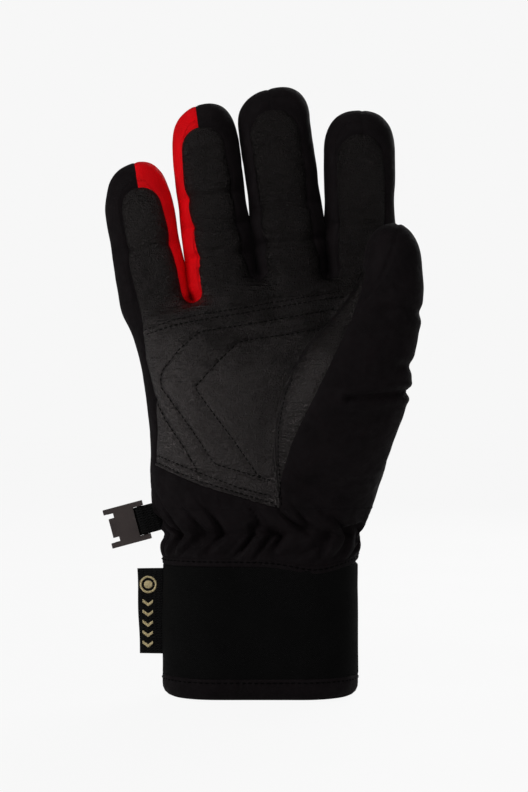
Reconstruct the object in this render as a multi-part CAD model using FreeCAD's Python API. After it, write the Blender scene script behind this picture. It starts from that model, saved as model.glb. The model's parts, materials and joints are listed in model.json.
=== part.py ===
"""Right-hand ski glove with a neoprene cuff, leather palm, boxed fingers and a pairing clip.

The glove stands on its hem, palm towards -Y, fingers towards +Z. The origin is the centre of the
hem's bottom face. Soft layers are cut at each flex line into rigid pieces that turn on hinges:
two flex lines in each finger, two in the thumb and one at the gathered wrist.
Run it with FreeCAD's Python; it writes one STEP file for each node to parts/.
"""

import FreeCAD, Part

import math
import os

from FreeCAD import Placement, Rotation, Vector

# ---- layers, from the outside in (mm) ----
SKIN = 1.0            # leather, shell fabric and fourchettes
PLY_GAP = 0.3         # slack between one layer and the next
LINER = 3.3           # insulation and fleece together
LINING = 1.0          # fleece bag of the hand and the cuff
HAND_INSULATION = 3.0   # the hand is padded thicker than the fingers
LINER_OUT = SKIN + PLY_GAP
LINER_IN = LINER_OUT + LINER
SEAM_GAP = 0.15       # half the gap between two panels of one layer

# ---- cuff ----
CUFF_WIDTH, CUFF_DEPTH = 86.0, 50.0
HEM_WIDTH, HEM_DEPTH = 82.0, 47.0
HEM_HEIGHT = 8.2
BAND_BOTTOM, BAND_TOP = 8.6, 58.0
BAND_THICKNESS = 3.0
TAPE_TOP = 61.0
CUFF_LINING_BOTTOM = 1.5

# ---- wrist ----
HAND_BOTTOM = 84.0
SLEEVE_GAP = 0.4
WAIST_HEIGHT, WAIST_WIDTH, WAIST_DEPTH = 70.0, 83.0, 46.0
ELASTIC_HEIGHT, ELASTIC_THICKNESS = 4.5, 0.8

# ---- hand: height, left edge, right edge, depth ----
HAND_SECTIONS = [
    (HAND_BOTTOM, -47.0, 48.5, 46.0),
    (100.0, -47.5, 54.0, 46.0),
    (118.0, -48.5, 61.0, 45.0),
    (132.0, -50.0, 62.6, 43.4),
    (150.0, -53.0, 62.4, 41.0),
    (175.0, -60.0, 61.5, 34.0),
    (188.0, -62.5, 61.0, 29.0),
    (200.0, -64.0, 61.0, 27.0),
]
HAND_STEP = 8.0
CAVITY_DROP = 1.0     # cavities start this far below the shell's lower edge
HAND_CEILING = 192.0
# outlines of the palm's panels as seen from the front, as (x, z)
UPPER_LEATHER = [(-52, 164), (-30, 170), (38, 181), (45, 152), (80, 142), (80, 230), (-57, 230),
                 (-57, 192)]
PALM_PATCH = [(-46, 109), (-46.8, 133), (-51, 150), (-52, 164), (-30, 170), (38, 181), (26, 161),
              (14, 143), (8, 118), (8, 92.5), (-18, 98)]
PATCH_BINDING = [(-46, 105), (-46, 109), (-18, 98), (8, 92.5), (8, 88.5), (-18, 94)]
HEEL_PANEL = [(-46, 60), (-46, 105), (-18, 94), (8, 88.5), (8, 60)]
PALM_OUTLINE = [(-57, 230), (-57, 192), (-52, 164), (-51, 150), (-46.8, 133), (-46, 105), (-46, 60),
                (8, 60), (8, 118), (14, 143), (26, 161), (38, 181), (45, 152), (80, 142), (80, 230)]
PALM_DEPTH_Y = -2.0   # how far round the sides the palm's panels reach

# ---- fingers ----
KNUCKLE_AXIS_Y = -8.0   # the flex line lies near the palm side, where the leather creases
MIDDLE_AXIS_Y = -7.0
KNUCKLE_FLEX, MIDDLE_FLEX = 50.0, 60.0
FLEX_MARGIN = 3.0
PIVOT_CLEAR = 0.3
FINGER_REACH = 22.0     # half the span of a flex line's wedge
DOME = 14.0
DOME_STEPS = (0.25, 0.45, 0.62, 0.76, 0.87, 0.95, 0.99)
FINGER_ROOT = -12.0     # a finger's loft starts this far below its flex line
GUSSET_BACK_Y = 5.0     # where the fourchette meets the back of the finger
FACE_TIP_DROP = 9.5
# name: (x and z of the flex line's middle, lean to the little-finger side in degrees, length,
#        width at the base, width at the tip, depth, face half-width, face shift, middle joint)
FINGERS = {
    "index": (46.2, 189.0, 0.6, 71.0, 29.4, 30.0, 27.0, 10.8, 0.3, 31.0),
    "middle": (15.3, 189.0, 7.4, 82.0, 31.0, 30.5, 27.5, 11.5, -0.4, 36.0),
    "ring": (-16.3, 185.0, 7.3, 79.4, 30.0, 28.5, 27.0, 10.4, 0.0, 34.0),
    "little": (-46.0, 177.0, 9.9, 61.9, 28.2, 25.5, 25.0, 9.4, 1.6, 26.0),
}
RED_SIDE = {"ring": -1, "little": 1}   # the side of the finger that has the red fourchette

# ---- thumb: height, centre x, centre y, half width, half depth ----
THUMB_SECTIONS = [
    (88.0, 29.0, -15.5, 21.0, 8.0),
    (103.0, 31.6, -22.5, 24.2, 13.5),
    (118.0, 34.9, -29.5, 26.9, 16.0),
    (133.0, 38.8, -35.5, 28.2, 16.5),
    (148.0, 42.9, -38.8, 24.8, 16.4),
    (163.0, 49.7, -39.5, 21.4, 16.0),
    (178.0, 56.4, -40.0, 16.6, 15.3),
    (190.0, 59.0, -40.0, 13.6, 13.4),
    (200.0, 60.0, -40.0, 9.8, 9.6),
    (205.0, 60.5, -40.0, 6.4, 6.3),
    (208.0, 60.8, -40.0, 2.6, 2.5),
]
THUMB_STEP = 7.5
THUMB_SIDE_TOP = 193.0              # steps end here and the dome's closer sections start
THUMB_DOME_HEIGHTS = (199.0, 203.0, 206.0)
THINNEST = 0.72                     # the most of a section's half depth that an inset may take
THUMB_ROOT_JOINT = (52.0, 143.0)    # x, z; the axis runs front to back
THUMB_TIP_JOINT = (46.0, 174.0)
THUMB_IN, THUMB_OUT, THUMB_TIP_FLEX = 10.0, 35.0, 45.0
THUMB_REACH = 45.0
LEATHER_PLANE_POINT = Vector(9.9, -50.0, 100.0)
LEATHER_PLANE_NORMAL = Vector(1.0, -1.2, -0.416)

# ---- closure on the back of the cuff ----
FLAP_LEFT, FLAP_RIGHT = -22.0, 22.0
FLAP_BOTTOM, FLAP_TOP = 17.0, 49.0
FLAP_THICKNESS = 2.2
PATCH_THICKNESS = 1.0
PATCH_MARGIN = 4.0

# ---- label, webbing and clip ----
LABEL_BOTTOM, LABEL_TOP, LABEL_LEFT, LABEL_THICKNESS = 20.5, 58.5, -54.3, 1.0
STRAP_ROOT = Vector(-47.2, 0.0, 79.0)
STRAP_TILT = 15.0        # the strap hangs this far below level
STRAP_LENGTH, STRAP_WIDTH, STRAP_THICKNESS = 5.0, 12.0, 2.4
CLIP_BAR_RADIUS = 1.0
CLIP_BAR_CLEAR = 0.2
CLIP_LENGTH, CLIP_WIDTH, CLIP_THICKNESS = 14.5, 17.5, 5.0
CLIP_RAIL = 2.2
CLIP_EAR, CLIP_LIP = 1.8, 1.6      # how far the rails reach past the bar and past the mouth
CLIP_SHOULDER = 0.8                 # the plate is this much narrower than the rails, each side
SOCKET_WIDTH, SOCKET_HEIGHT, SOCKET_DEPTH = 11.0, 2.4, 8.5
NOTCH, NOTCH_WIDTH, NOTCH_EDGE = 2.6, 2.2, 3.4

TINY = 1e-3
FAR = 150.0
HERE = Vector(0, 0, 0)
UP = Vector(0, 0, 1)


# ---- shapes ----
def stadium(left, right, depth, z, inset=0.0):
    """A flat-oval wire at height z, made smaller all round by inset."""
    r = depth / 2 - inset
    a, b = left + depth / 2, right - depth / 2
    return Part.Wire(
        [
            Part.makeLine(Vector(a, -r, z), Vector(b, -r, z)),
            Part.Arc(Vector(b, -r, z), Vector(b + r, 0, z), Vector(b, r, z)).toShape(),
            Part.makeLine(Vector(b, r, z), Vector(a, r, z)),
            Part.Arc(Vector(a, r, z), Vector(a - r, 0, z), Vector(a, -r, z)).toShape(),
        ]
    )


def oval(x, y, half_width, half_depth, z):
    """An ellipse wire at height z, whose major axis may lie along X or Y."""
    major, minor = max(half_width, half_depth), min(half_width, half_depth)
    along = Vector(1, 0, 0) if half_width >= half_depth else Vector(0, 1, 0)
    across = Vector(0, 1, 0) if half_width >= half_depth else Vector(-1, 0, 0)
    centre = Vector(x, y, z)
    major = max(major, minor + TINY)   # an ellipse needs two different radii
    curve = Part.Ellipse(centre + along * major, centre + across * minor, centre)
    return Part.Wire(curve.toShape())


def loft(wires):
    """A solid with straight sides from each wire to the next, so that it can't bulge between."""
    solid, ruled = True, True
    return Part.makeLoft(wires, solid, ruled)


def ring(sections, thickness):
    """A flat-oval tube through (z, width, depth) sections."""
    outer = loft([stadium(-w / 2, w / 2, d, z) for z, w, d in sections])
    inner = loft([stadium(-w / 2, w / 2, d, z, thickness) for z, w, d in sections])
    return outer.cut(inner)


def panel(outline, grow, back):
    """A panel's outline, moved outwards by grow and pushed through the front of the hand."""
    corners = [Vector(x, -FAR, z) for x, z in outline]
    wire = Part.makePolygon(corners + corners[:1])
    sharp_corners = 2
    wire = Part.Wire(wire.makeOffset2D(grow, sharp_corners).Edges)
    return Part.Face(wire).extrude(Vector(0, FAR + back, 0))


def box(x0, x1, y0, y1, z0, z1):
    return Part.makeBox(x1 - x0, y1 - y0, z1 - z0, Vector(x0, y0, z0))


def wedge_edge(line, sign, reach):
    """One side of a flex line's wedge, as (y, z) points: sign is 1 for the upper side."""
    y, z, front, back = line
    tip = z + sign * PIVOT_CLEAR
    return [
        (y - reach, tip + sign * reach * math.tan(math.radians(front / 2))),
        (y, tip),
        (y + reach, tip + sign * reach * math.tan(math.radians(back / 2))),
    ]


def slab(lower, upper, reach, half_width=FAR):
    """The space between two flex lines, which run along X.

    A flex line is (y, z, opening towards -Y, opening towards +Y), with both openings in degrees.
    Each slab takes half of the wedge on each side of the line, so that two slabs that share a
    line can close up by that angle. None stands for no limit.
    """
    bottom = wedge_edge(lower, 1, reach) if lower else None
    top = wedge_edge(upper, -1, reach) if upper else None
    if not bottom:
        bottom = [(y, -FAR) for y, z in top]
    if not top:
        top = [(y, 2 * FAR) for y, z in bottom]
    outline = [Vector(-half_width, y, z) for y, z in bottom + top[::-1]]
    face = Part.Face(Part.makePolygon(outline + outline[:1]))
    return face.extrude(Vector(2 * half_width, 0, 0))


def above(line, reach, half_width):
    """What lies above the lower side of a flex line's wedge: it trims the layers below it."""
    edge = wedge_edge(line, -1, reach)
    roof = [(y, 2 * FAR) for y, z in edge]
    outline = [Vector(-half_width, y, z) for y, z in edge + roof[::-1]]
    return Part.Face(Part.makePolygon(outline + outline[:1])).extrude(Vector(2 * half_width, 0, 0))


def half_space(point, normal, gap):
    """A big block on the side of a plane that its normal points to, kept gap away from the plane."""
    block = Part.makeBox(4 * FAR, 4 * FAR, 4 * FAR, Vector(-2 * FAR, -2 * FAR, gap))
    block.Placement = Placement(point, Rotation(UP, normal))
    return block


def save(name, shape):
    """Writes one node, as its separate solids."""
    solids = [s for s in shape.Solids if s.Volume > 1.0]
    assert solids, name
    for s in solids:
        assert s.isValid() and s.isClosed(), name
    whole = solids[0] if len(solids) == 1 else Part.makeCompound(solids)
    whole.exportStep(f"parts/{name}.step")
    b = whole.optimalBoundingBox(False, False)
    low = f"{b.XMin:.1f} {b.YMin:.1f} {b.ZMin:.1f}"
    high = f"{b.XMax:.1f} {b.YMax:.1f} {b.ZMax:.1f}"
    print(f"{name:22s} {len(solids)} {whole.Volume:7.0f} mm3  from {low} to {high}")


# ---- cuff ----
def cuff_section(z, grow=0.0):
    """Width and depth of the cuff's outside at height z."""
    t = min(z / BAND_BOTTOM, 1.0)
    width = HEM_WIDTH + (CUFF_WIDTH - HEM_WIDTH) * t
    depth = HEM_DEPTH + (CUFF_DEPTH - HEM_DEPTH) * t
    return z, width + grow, depth + grow


def make_cuff():
    inner = 2 * (BAND_THICKNESS + PLY_GAP)
    save("cuff_band", ring([cuff_section(BAND_BOTTOM), cuff_section(BAND_TOP)], BAND_THICKNESS))
    save("cuff_hem_binding", ring([cuff_section(0, 1.0), cuff_section(HEM_HEIGHT, 1.0)],
                                  BAND_THICKNESS + 0.5))
    save("cuff_top_tape", ring([cuff_section(BAND_TOP + PLY_GAP, 0.6),
                                cuff_section(TAPE_TOP, 0.6)], BAND_THICKNESS))
    save("cuff_lining", ring([cuff_section(CUFF_LINING_BOTTOM, -inner),
                              cuff_section(BAND_BOTTOM, -inner),
                              cuff_section(TAPE_TOP, -inner)], LINING))
    left = -CUFF_WIDTH / 2 - PLY_GAP
    half = LABEL_THICKNESS / 2
    save("side_label_tab", box(LABEL_LEFT, left, -half, half, LABEL_BOTTOM, LABEL_TOP))


def make_closure():
    """A hook-and-loop flap on the back of the cuff, hinged on its left edge."""
    back = CUFF_DEPTH / 2 + PLY_GAP
    loop_top = back + PATCH_THICKNESS
    hook_bottom = loop_top + PLY_GAP
    flap_bottom = hook_bottom + PATCH_THICKNESS + PLY_GAP
    patch = [FLAP_LEFT + PATCH_MARGIN, FLAP_RIGHT - PATCH_MARGIN / 2]
    heights = [FLAP_BOTTOM + PATCH_MARGIN, FLAP_TOP - PATCH_MARGIN]
    save("closure_loop_patch", box(*patch, back, loop_top, *heights))
    save("closure_hook_patch", box(*patch, hook_bottom, hook_bottom + PATCH_THICKNESS, *heights))
    flap = box(FLAP_LEFT, FLAP_RIGHT, flap_bottom, flap_bottom + FLAP_THICKNESS,
               FLAP_BOTTOM, FLAP_TOP)
    corners = [e for e in flap.Edges
               if abs(e.BoundBox.XMin - FLAP_RIGHT) < 1e-6 and e.BoundBox.YLength > 1]
    save("closure_flap", flap.makeFillet(6.0, corners))


# ---- wrist ----
def make_wrist():
    """The gathered sleeve between cuff and hand, and the elastic that gathers it."""
    hand_width = HAND_SECTIONS[0][2] - HAND_SECTIONS[0][1]
    bottom = (TAPE_TOP + SLEEVE_GAP, CUFF_WIDTH - 1.0, CUFF_DEPTH - 1.0)
    waist = (WAIST_HEIGHT, WAIST_WIDTH, WAIST_DEPTH)
    top = (HAND_BOTTOM - SLEEVE_GAP, hand_width - 1.0, HAND_SECTIONS[0][3] - 0.5)
    save("wrist_gather_sleeve", ring([bottom, waist, top], SKIN))
    low = TAPE_TOP + SLEEVE_GAP
    inside = 2 * (SKIN + 2 * PLY_GAP)
    elastic = ring(
        [
            (low, WAIST_WIDTH - inside, WAIST_DEPTH - inside),
            (low + ELASTIC_HEIGHT, WAIST_WIDTH - inside, WAIST_DEPTH - inside),
        ],
        ELASTIC_THICKNESS,
    )
    save("wrist_elastic", elastic)


# ---- fingers ----
def finger_loft(spec, inset):
    """A tapered oval finger with a domed tip, in its own frame: flex line at z = 0, tip up."""
    length, base_width, tip_width, depth = spec[3:7]
    length = length - inset
    dome_start = length - DOME + inset
    half_depth = depth / 2 - inset
    wires = [oval(0, 0, base_width / 2 - inset, half_depth, z) for z in (FINGER_ROOT, 0.0)]
    for u in (0.0, *DOME_STEPS):
        f = math.sqrt(1 - u * u)
        z = dome_start + (length - dome_start) * u
        wires.append(oval(0, 0, (tip_width / 2 - inset) * f, half_depth * f, z))
    return loft(wires)


def face_prism(spec, gap):
    """The arched outline of the leather face, pushed through the front of the finger."""
    length, half, shift = spec[3], spec[7] + gap, spec[8]
    spring = length - FACE_TIP_DROP - spec[7]
    left, right = Vector(shift - half, -FAR, -FAR), Vector(shift + half, -FAR, -FAR)
    left_top, right_top = Vector(left.x, -FAR, spring), Vector(right.x, -FAR, spring)
    crown = Vector(shift, -FAR, spring + half)
    outline = Part.Wire(
        [
            Part.makeLine(left, left_top),
            Part.Arc(left_top, crown, right_top).toShape(),
            Part.makeLine(right_top, right),
            Part.makeLine(right, left),
        ]
    )
    return Part.Face(outline).extrude(Vector(0, FAR, 0))


def knuckle_line():
    return (KNUCKLE_AXIS_Y, 0.0, KNUCKLE_FLEX + FLEX_MARGIN, 1.0)


def middle_line(spec):
    return (MIDDLE_AXIS_Y, spec[9], MIDDLE_FLEX + FLEX_MARGIN, 1.0)


def finger_place(spec):
    return Placement(Vector(spec[0], 0, spec[1]), Rotation(Vector(0, 1, 0), -spec[2]))


def make_finger(name, spec):
    """Face, fourchettes, back and liner of both segments of one finger."""
    skin = finger_loft(spec, 0).cut(finger_loft(spec, SKIN))
    liner = finger_loft(spec, LINER_OUT).cut(finger_loft(spec, LINER_IN))
    face = skin.common(face_prism(spec, -SEAM_GAP))
    front = box(-FAR, FAR, -FAR, GUSSET_BACK_Y - SEAM_GAP, -FAR, FAR)
    rear = box(-FAR, FAR, GUSSET_BACK_Y + SEAM_GAP, FAR, -FAR, FAR)
    gussets = skin.common(front).cut(face_prism(spec, SEAM_GAP))
    back = skin.common(rear)
    segments = {
        "base": slab(knuckle_line(), middle_line(spec), FINGER_REACH),
        "tip": slab(middle_line(spec), None, FINGER_REACH),
    }
    for segment, region in segments.items():
        pieces = {"face": face, "gusset": gussets, "back": back, "liner": liner}
        pieces = {k: v.common(region) for k, v in pieces.items()}
        if name in RED_SIDE:
            # the red fourchette ends at the middle of the fingertip, where the black one starts
            side = RED_SIDE[name]
            red_half = half_space(HERE, Vector(side, 0, 0), SEAM_GAP)
            black_half = half_space(HERE, Vector(-side, 0, 0), SEAM_GAP)
            black = pieces["gusset"].common(black_half)
            pieces["gusset"] = pieces["gusset"].common(red_half)
            pieces["back"] = Part.makeCompound(pieces["back"].Solids + black.Solids)
        for kind, shape in pieces.items():
            shape.Placement = finger_place(spec)
            save(f"{name}_{segment}_{kind}", shape)


# ---- thumb ----
def between(table, z):
    """A row of the table at height z, by a smooth curve through its rows."""
    i = max(k for k in range(len(table) - 1) if table[k][0] <= z)
    low, high = table[i], table[i + 1]
    before, after = table[max(i - 1, 0)], table[min(i + 2, len(table) - 1)]
    span = high[0] - low[0]
    t = (z - low[0]) / span
    row = [z]
    for k in range(1, len(low)):
        start = (high[k] - before[k]) / (high[0] - before[0]) * span
        end = (after[k] - low[k]) / (after[0] - low[0]) * span
        row.append((2 * t**3 - 3 * t**2 + 1) * low[k] + (t**3 - 2 * t**2 + t) * start
                   + (3 * t**2 - 2 * t**3) * high[k] + (t**3 - t**2) * end)
    return row


def steps(low, high, step):
    """Even heights from low to high, about one step apart."""
    count = round((high - low) / step)
    return [low + (high - low) * k / count for k in range(count + 1)]


def thumb_loft(inset):
    bottom, top = THUMB_SECTIONS[0][0], THUMB_SECTIONS[-1][0]
    wires = []
    for height in [*steps(bottom, THUMB_SIDE_TOP, THUMB_STEP), *THUMB_DOME_HEIGHTS, top]:
        z, x, y, a, b = between(THUMB_SECTIONS, height)
        lower = inset * (z - bottom) / (top - bottom)
        shrink = min(inset, b * THINNEST)
        wires.append(oval(x, y, a - shrink, b - shrink, z - lower))
    return loft(wires)


def thumb_line(joint, left, right):
    """A flex line that runs front to back, so its openings lie towards -X and +X."""
    return (joint[0], joint[1], left + FLEX_MARGIN, right + FLEX_MARGIN)


def turned(shape):
    """Turns a slab so that its flex lines run along Y: its Y becomes X."""
    shape.rotate(HERE, UP, -90)
    return shape


def make_thumb(hand_outside):
    """Leather, shell fabric and liner of the thumb's root, its base and its tip."""
    skin = thumb_loft(0).cut(thumb_loft(SKIN))
    liner = thumb_loft(LINER_OUT).cut(thumb_loft(LINER_IN))
    leather_side = half_space(LEATHER_PLANE_POINT, -LEATHER_PLANE_NORMAL, SEAM_GAP)
    fabric_side = half_space(LEATHER_PLANE_POINT, LEATHER_PLANE_NORMAL, SEAM_GAP)
    layers = {
        "leather": skin.common(leather_side),
        "fabric": skin.common(fabric_side),
        "liner": liner,
    }
    root_line = thumb_line(THUMB_ROOT_JOINT, THUMB_IN, THUMB_OUT)
    tip_line = thumb_line(THUMB_TIP_JOINT, THUMB_TIP_FLEX, 0.0)
    segments = {
        "thumb_root": turned(slab(None, root_line, THUMB_REACH)).cut(hand_outside),
        "thumb_base": turned(slab(root_line, tip_line, THUMB_REACH)),
        "thumb_tip": turned(slab(tip_line, None, THUMB_REACH)),
    }
    for segment, region in segments.items():
        for kind, layer in layers.items():
            save(f"{segment}_{kind}", layer.common(region))


# ---- hand ----
def hand_loft(inset, drop=0.0):
    heights = steps(HAND_BOTTOM, HAND_SECTIONS[-1][0], HAND_STEP)
    sections = [between(HAND_SECTIONS, z) for z in heights]
    sections[0][0] -= drop
    return loft([stadium(a, b, d, z, inset) for z, a, b, d in sections])


def make_hand():
    """Palm panels, back panel, insulation and lining; all open at the wrist, thumb and fingers."""
    openings = [box(-FAR, FAR, -FAR, FAR, HAND_CEILING, 2 * FAR), thumb_loft(LINER_IN)]
    for spec in FINGERS.values():
        tool = above(knuckle_line(), 2 * FINGER_REACH, spec[4] / 2 + 4.0)
        tool.Placement = finger_place(spec)
        openings.append(tool)

    def layer(outer, inner):
        shell = hand_loft(outer).cut(hand_loft(inner, CAVITY_DROP))
        return shell.cut(openings)

    skin = layer(0.0, SKIN)
    save("palm_upper_leather", skin.common(panel(UPPER_LEATHER, -SEAM_GAP, PALM_DEPTH_Y)))
    save("palm_patch", skin.common(panel(PALM_PATCH, -SEAM_GAP, PALM_DEPTH_Y)))
    save("palm_patch_binding", skin.common(panel(PATCH_BINDING, -SEAM_GAP, PALM_DEPTH_Y)))
    save("heel_panel", skin.common(panel(HEEL_PANEL, -SEAM_GAP, PALM_DEPTH_Y)))
    save("back_panel", skin.cut(panel(PALM_OUTLINE, SEAM_GAP, PALM_DEPTH_Y + 2 * SEAM_GAP)))
    bag = LINER_OUT + HAND_INSULATION + PLY_GAP
    save("hand_insulation", layer(LINER_OUT, LINER_OUT + HAND_INSULATION))
    save("hand_lining", layer(bag, bag + LINING))
    return hand_loft(-PLY_GAP)


# ---- webbing and clip, built with the strap along -X and then tilted ----
def strap_place():
    return Placement(STRAP_ROOT, Rotation(Vector(0, 1, 0), -STRAP_TILT))


def make_clip():
    half_w = STRAP_WIDTH / 2
    bar_x = -STRAP_LENGTH
    hole = CLIP_BAR_RADIUS + CLIP_BAR_CLEAR
    eye = hole + STRAP_THICKNESS / 2
    webbing = box(bar_x, 0, -STRAP_THICKNESS / 2, STRAP_THICKNESS / 2, -half_w, half_w)
    webbing = webbing.fuse(Part.makeCylinder(eye, STRAP_WIDTH, Vector(bar_x, 0, -half_w)))
    webbing = webbing.cut(Part.makeCylinder(hole, STRAP_WIDTH + 2, Vector(bar_x, 0, -half_w - 1)))
    webbing.Placement = strap_place()
    save("clip_webbing", webbing.removeSplitter())

    half_c, half_t = CLIP_WIDTH / 2, CLIP_THICKNESS / 2
    mouth = bar_x - CLIP_LENGTH
    body_right = bar_x - eye - 0.4
    edge = half_c - CLIP_SHOULDER
    body = box(mouth, body_right, -half_t, half_t, -edge, edge)
    outside = box(mouth - CLIP_LIP, bar_x + CLIP_EAR, -half_t, half_t, -half_c, half_c)
    inner = half_c - CLIP_RAIL
    rails = outside.cut(box(-FAR, FAR, -FAR, FAR, -inner, inner))
    bar = Part.makeCylinder(CLIP_BAR_RADIUS, CLIP_WIDTH - 2, Vector(bar_x, 0, -half_c + 1))
    clip = body.fuse([rails, bar])
    socket = box(-FAR, mouth + SOCKET_DEPTH, -SOCKET_HEIGHT / 2, SOCKET_HEIGHT / 2,
                 -SOCKET_WIDTH / 2, SOCKET_WIDTH / 2)
    notch = box(-FAR, mouth + NOTCH, -FAR, FAR, -NOTCH_WIDTH / 2, NOTCH_WIDTH / 2)
    notches = [notch.translated(Vector(0, 0, s * (half_c - NOTCH_EDGE))) for s in (-1, 1)]
    clip = clip.cut([socket, *notches]).removeSplitter()
    clip.Placement = strap_place()
    save("pairing_clip", clip)


def main():
    os.makedirs("parts", exist_ok=True)
    make_cuff()
    make_closure()
    make_wrist()
    for name, spec in FINGERS.items():
        make_finger(name, spec)
    make_thumb(make_hand())
    make_clip()


main()
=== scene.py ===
"""A right-hand ski glove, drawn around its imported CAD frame.

The outside of the hand, fingers, thumb and wrist sleeve is one continuous surface. It is built as
the zero level of a distance-like field on a grid, cut exactly along the glove's seams, and then
shaped: seams sink, panels puff, quilting and folds are pressed in. Each panel becomes its own
piece, and each piece bends across one joint. Lengths are in millimetres until a mesh is made.
"""

import json
import math

import bpy
import numpy as np
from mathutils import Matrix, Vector
from mathutils.bvhtree import BVHTree
from mathutils.kdtree import KDTree


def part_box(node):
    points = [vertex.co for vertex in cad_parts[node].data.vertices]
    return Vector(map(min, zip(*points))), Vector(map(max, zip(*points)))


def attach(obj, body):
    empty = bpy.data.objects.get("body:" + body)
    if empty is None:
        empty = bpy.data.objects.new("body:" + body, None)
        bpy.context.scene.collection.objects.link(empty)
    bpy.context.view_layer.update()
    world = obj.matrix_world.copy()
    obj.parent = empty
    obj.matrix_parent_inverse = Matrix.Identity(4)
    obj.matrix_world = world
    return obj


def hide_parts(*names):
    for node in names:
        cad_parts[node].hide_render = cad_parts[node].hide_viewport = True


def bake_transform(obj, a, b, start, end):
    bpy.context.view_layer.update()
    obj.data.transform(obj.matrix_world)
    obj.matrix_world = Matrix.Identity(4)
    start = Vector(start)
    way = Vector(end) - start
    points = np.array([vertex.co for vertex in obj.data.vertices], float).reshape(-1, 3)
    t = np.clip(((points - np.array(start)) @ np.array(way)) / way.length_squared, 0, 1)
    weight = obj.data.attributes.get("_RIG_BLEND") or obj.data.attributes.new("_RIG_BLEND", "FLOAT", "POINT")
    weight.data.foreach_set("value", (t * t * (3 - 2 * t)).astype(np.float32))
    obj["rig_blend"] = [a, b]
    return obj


MM = 0.001
FLOOR_GLOW = 0.921
WORLD_LIGHT = 0.13
# where the leather's painted highlight starts and ends its change, up the glove and across it, in metres
# the gloss change is a painted highlight that stands in for the light on the palm's lower outer side
GLOSS_HEIGHTS, GLOSS_SIDES = (0.140, 0.180), (-0.045, 0.0)
LAMPS = (("key", (-1.1, -0.6, -0.05), 0.5, 13.0), ("fill", (0.9, -0.9, 0.4), 0.9, 2.0),
         ("top", (-0.3, -0.7, 1.1), 0.6, 4.5), ("back", (0.5, 1.2, 0.8), 0.9, 7.0))
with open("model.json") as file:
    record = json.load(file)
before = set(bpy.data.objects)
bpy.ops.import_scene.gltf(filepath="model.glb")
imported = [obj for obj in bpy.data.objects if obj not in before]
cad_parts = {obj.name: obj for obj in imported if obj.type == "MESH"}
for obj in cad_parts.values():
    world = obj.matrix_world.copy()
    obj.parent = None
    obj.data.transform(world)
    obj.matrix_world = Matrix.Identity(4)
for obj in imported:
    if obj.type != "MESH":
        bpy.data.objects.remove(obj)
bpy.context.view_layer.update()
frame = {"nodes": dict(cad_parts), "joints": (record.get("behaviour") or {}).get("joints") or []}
joints = {j["name"]: j for j in frame["joints"]}


def node_box(name):
    low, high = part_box(name)
    return np.array(low) / MM, np.array(high) / MM


# ---------------------------------------------------------------- driving sizes (mm)
GRID = 1.0
FINGER_GRID = 0.9
FINGER_NAMES = ("index", "middle", "ring", "little")
# half widths as (distance up the finger, half width), the sideways set of its middle, depth,
# length, how long and how skewed the rounded tip is, and where the fourchettes meet on it
FINGER_SHAPE = {
    "index": ([(0, 14.6), (16, 15.4), (45, 15.6), (60, 15.6)], -1.1, 27.0, 71.6, 19.0, 0.0, 0.5),
    "middle": ([(0, 15.7), (15, 16.2), (45, 16.1), (68, 16.2)], 0.0, 27.5, 81.6, 16.0, 0.11, -0.8),
    "ring": ([(0, 15.6), (14, 15.5), (30, 15.1), (60, 15.0)], 0.0, 27.0, 78.3, 22.0, 0.11, -2.0),
    "little": ([(0, 15.6), (12, 15.6), (28, 15.0), (38, 14.8), (48, 14.4)], -0.5, 25.0, 60.6, 22.0,
               0.12, 1.0),
}
# the leather face: how high it reaches, and (distance up the finger, left edge, right edge)
FACE_SHAPE = {
    "index": (59.9, [(0, -11.3, 11.0), (22, -11.2, 10.8), (36, -11.4, 10.2), (54, -11.7, 9.6)]),
    "middle": (71.4, [(2, -12.5, 12.0), (16, -12.0, 10.9), (38, -12.1, 11.1), (58, -11.9, 10.9)]),
    "ring": (68.0, [(6, -9.6, 12.0), (20, -10.2, 10.8), (28, -10.9, 10.1), (42, -12.2, 10.0),
                    (60, -10.9, 8.8)]),
    "little": (48.9, [(0, -8.6, 13.0), (14, -9.2, 11.8), (28, -8.4, 11.3), (40, -8.1, 10.2)]),
}
# the fourchettes' rounded ends between the fingers, from the front: foot, head and half width
CROTCHES = (((-29.7, 179.3), (-34.5, 205.3), 4.2), ((-0.2, 188.9), (-3.6, 205.3), 3.7),
            ((31.8, 189.7), (29.8, 205.3), 3.9))
RED_SIDE = {"ring": -1, "little": 1}
BOXINESS = 2.5
GUSSET_BACK_Y = 5.0
HAND_BOTTOM = 84.0
ELASTIC_Z = 72.5
LABEL_FOOT, LABEL_HEAD = 18.2, 56.3
MARK_CENTRE = (-49.5, 49.0)
PIPE = 0.5
STRAP_WIDTH = 12.6
CUFF_SET, CUFF_WIDTH, CUFF_DEPTH = 0.6, 87.3, 50
LINING_DEPTH = 4.4

# height: left edge, right edge, depth of the wrist and hand
HAND_TABLE = [
    (56.0, -41.0, 42.0, 46.0), (60.0, -42.0, 43.0, 48.0), (63.5, -42.5, 43.7, 48.6),
    (66.5, -42.4, 44.2, 47.6),
    (70.0, -40.6, 43.4, 46.0), (73.0, -41.2, 43.4, 45.0), (78.0, -44.2, 46.6, 45.3),
    (84.0, -46.4, 50.2, 45.6),
    (92.0, -47.2, 53.2, 45.6), (100.0, -47.6, 56.0, 45.4), (110.0, -47.9, 58.0, 45.0),
    (120.0, -48.4, 61.4, 44.4), (132.0, -49.8, 63.0, 43.2), (150.0, -53.2, 62.6, 40.4),
    (163.0, -56.8, 61.8, 37.4), (175.0, -60.2, 61.2, 34.0), (188.0, -62.4, 60.6, 30.0),
    (205.0, -64.0, 60.4, 27.0),
]
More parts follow.
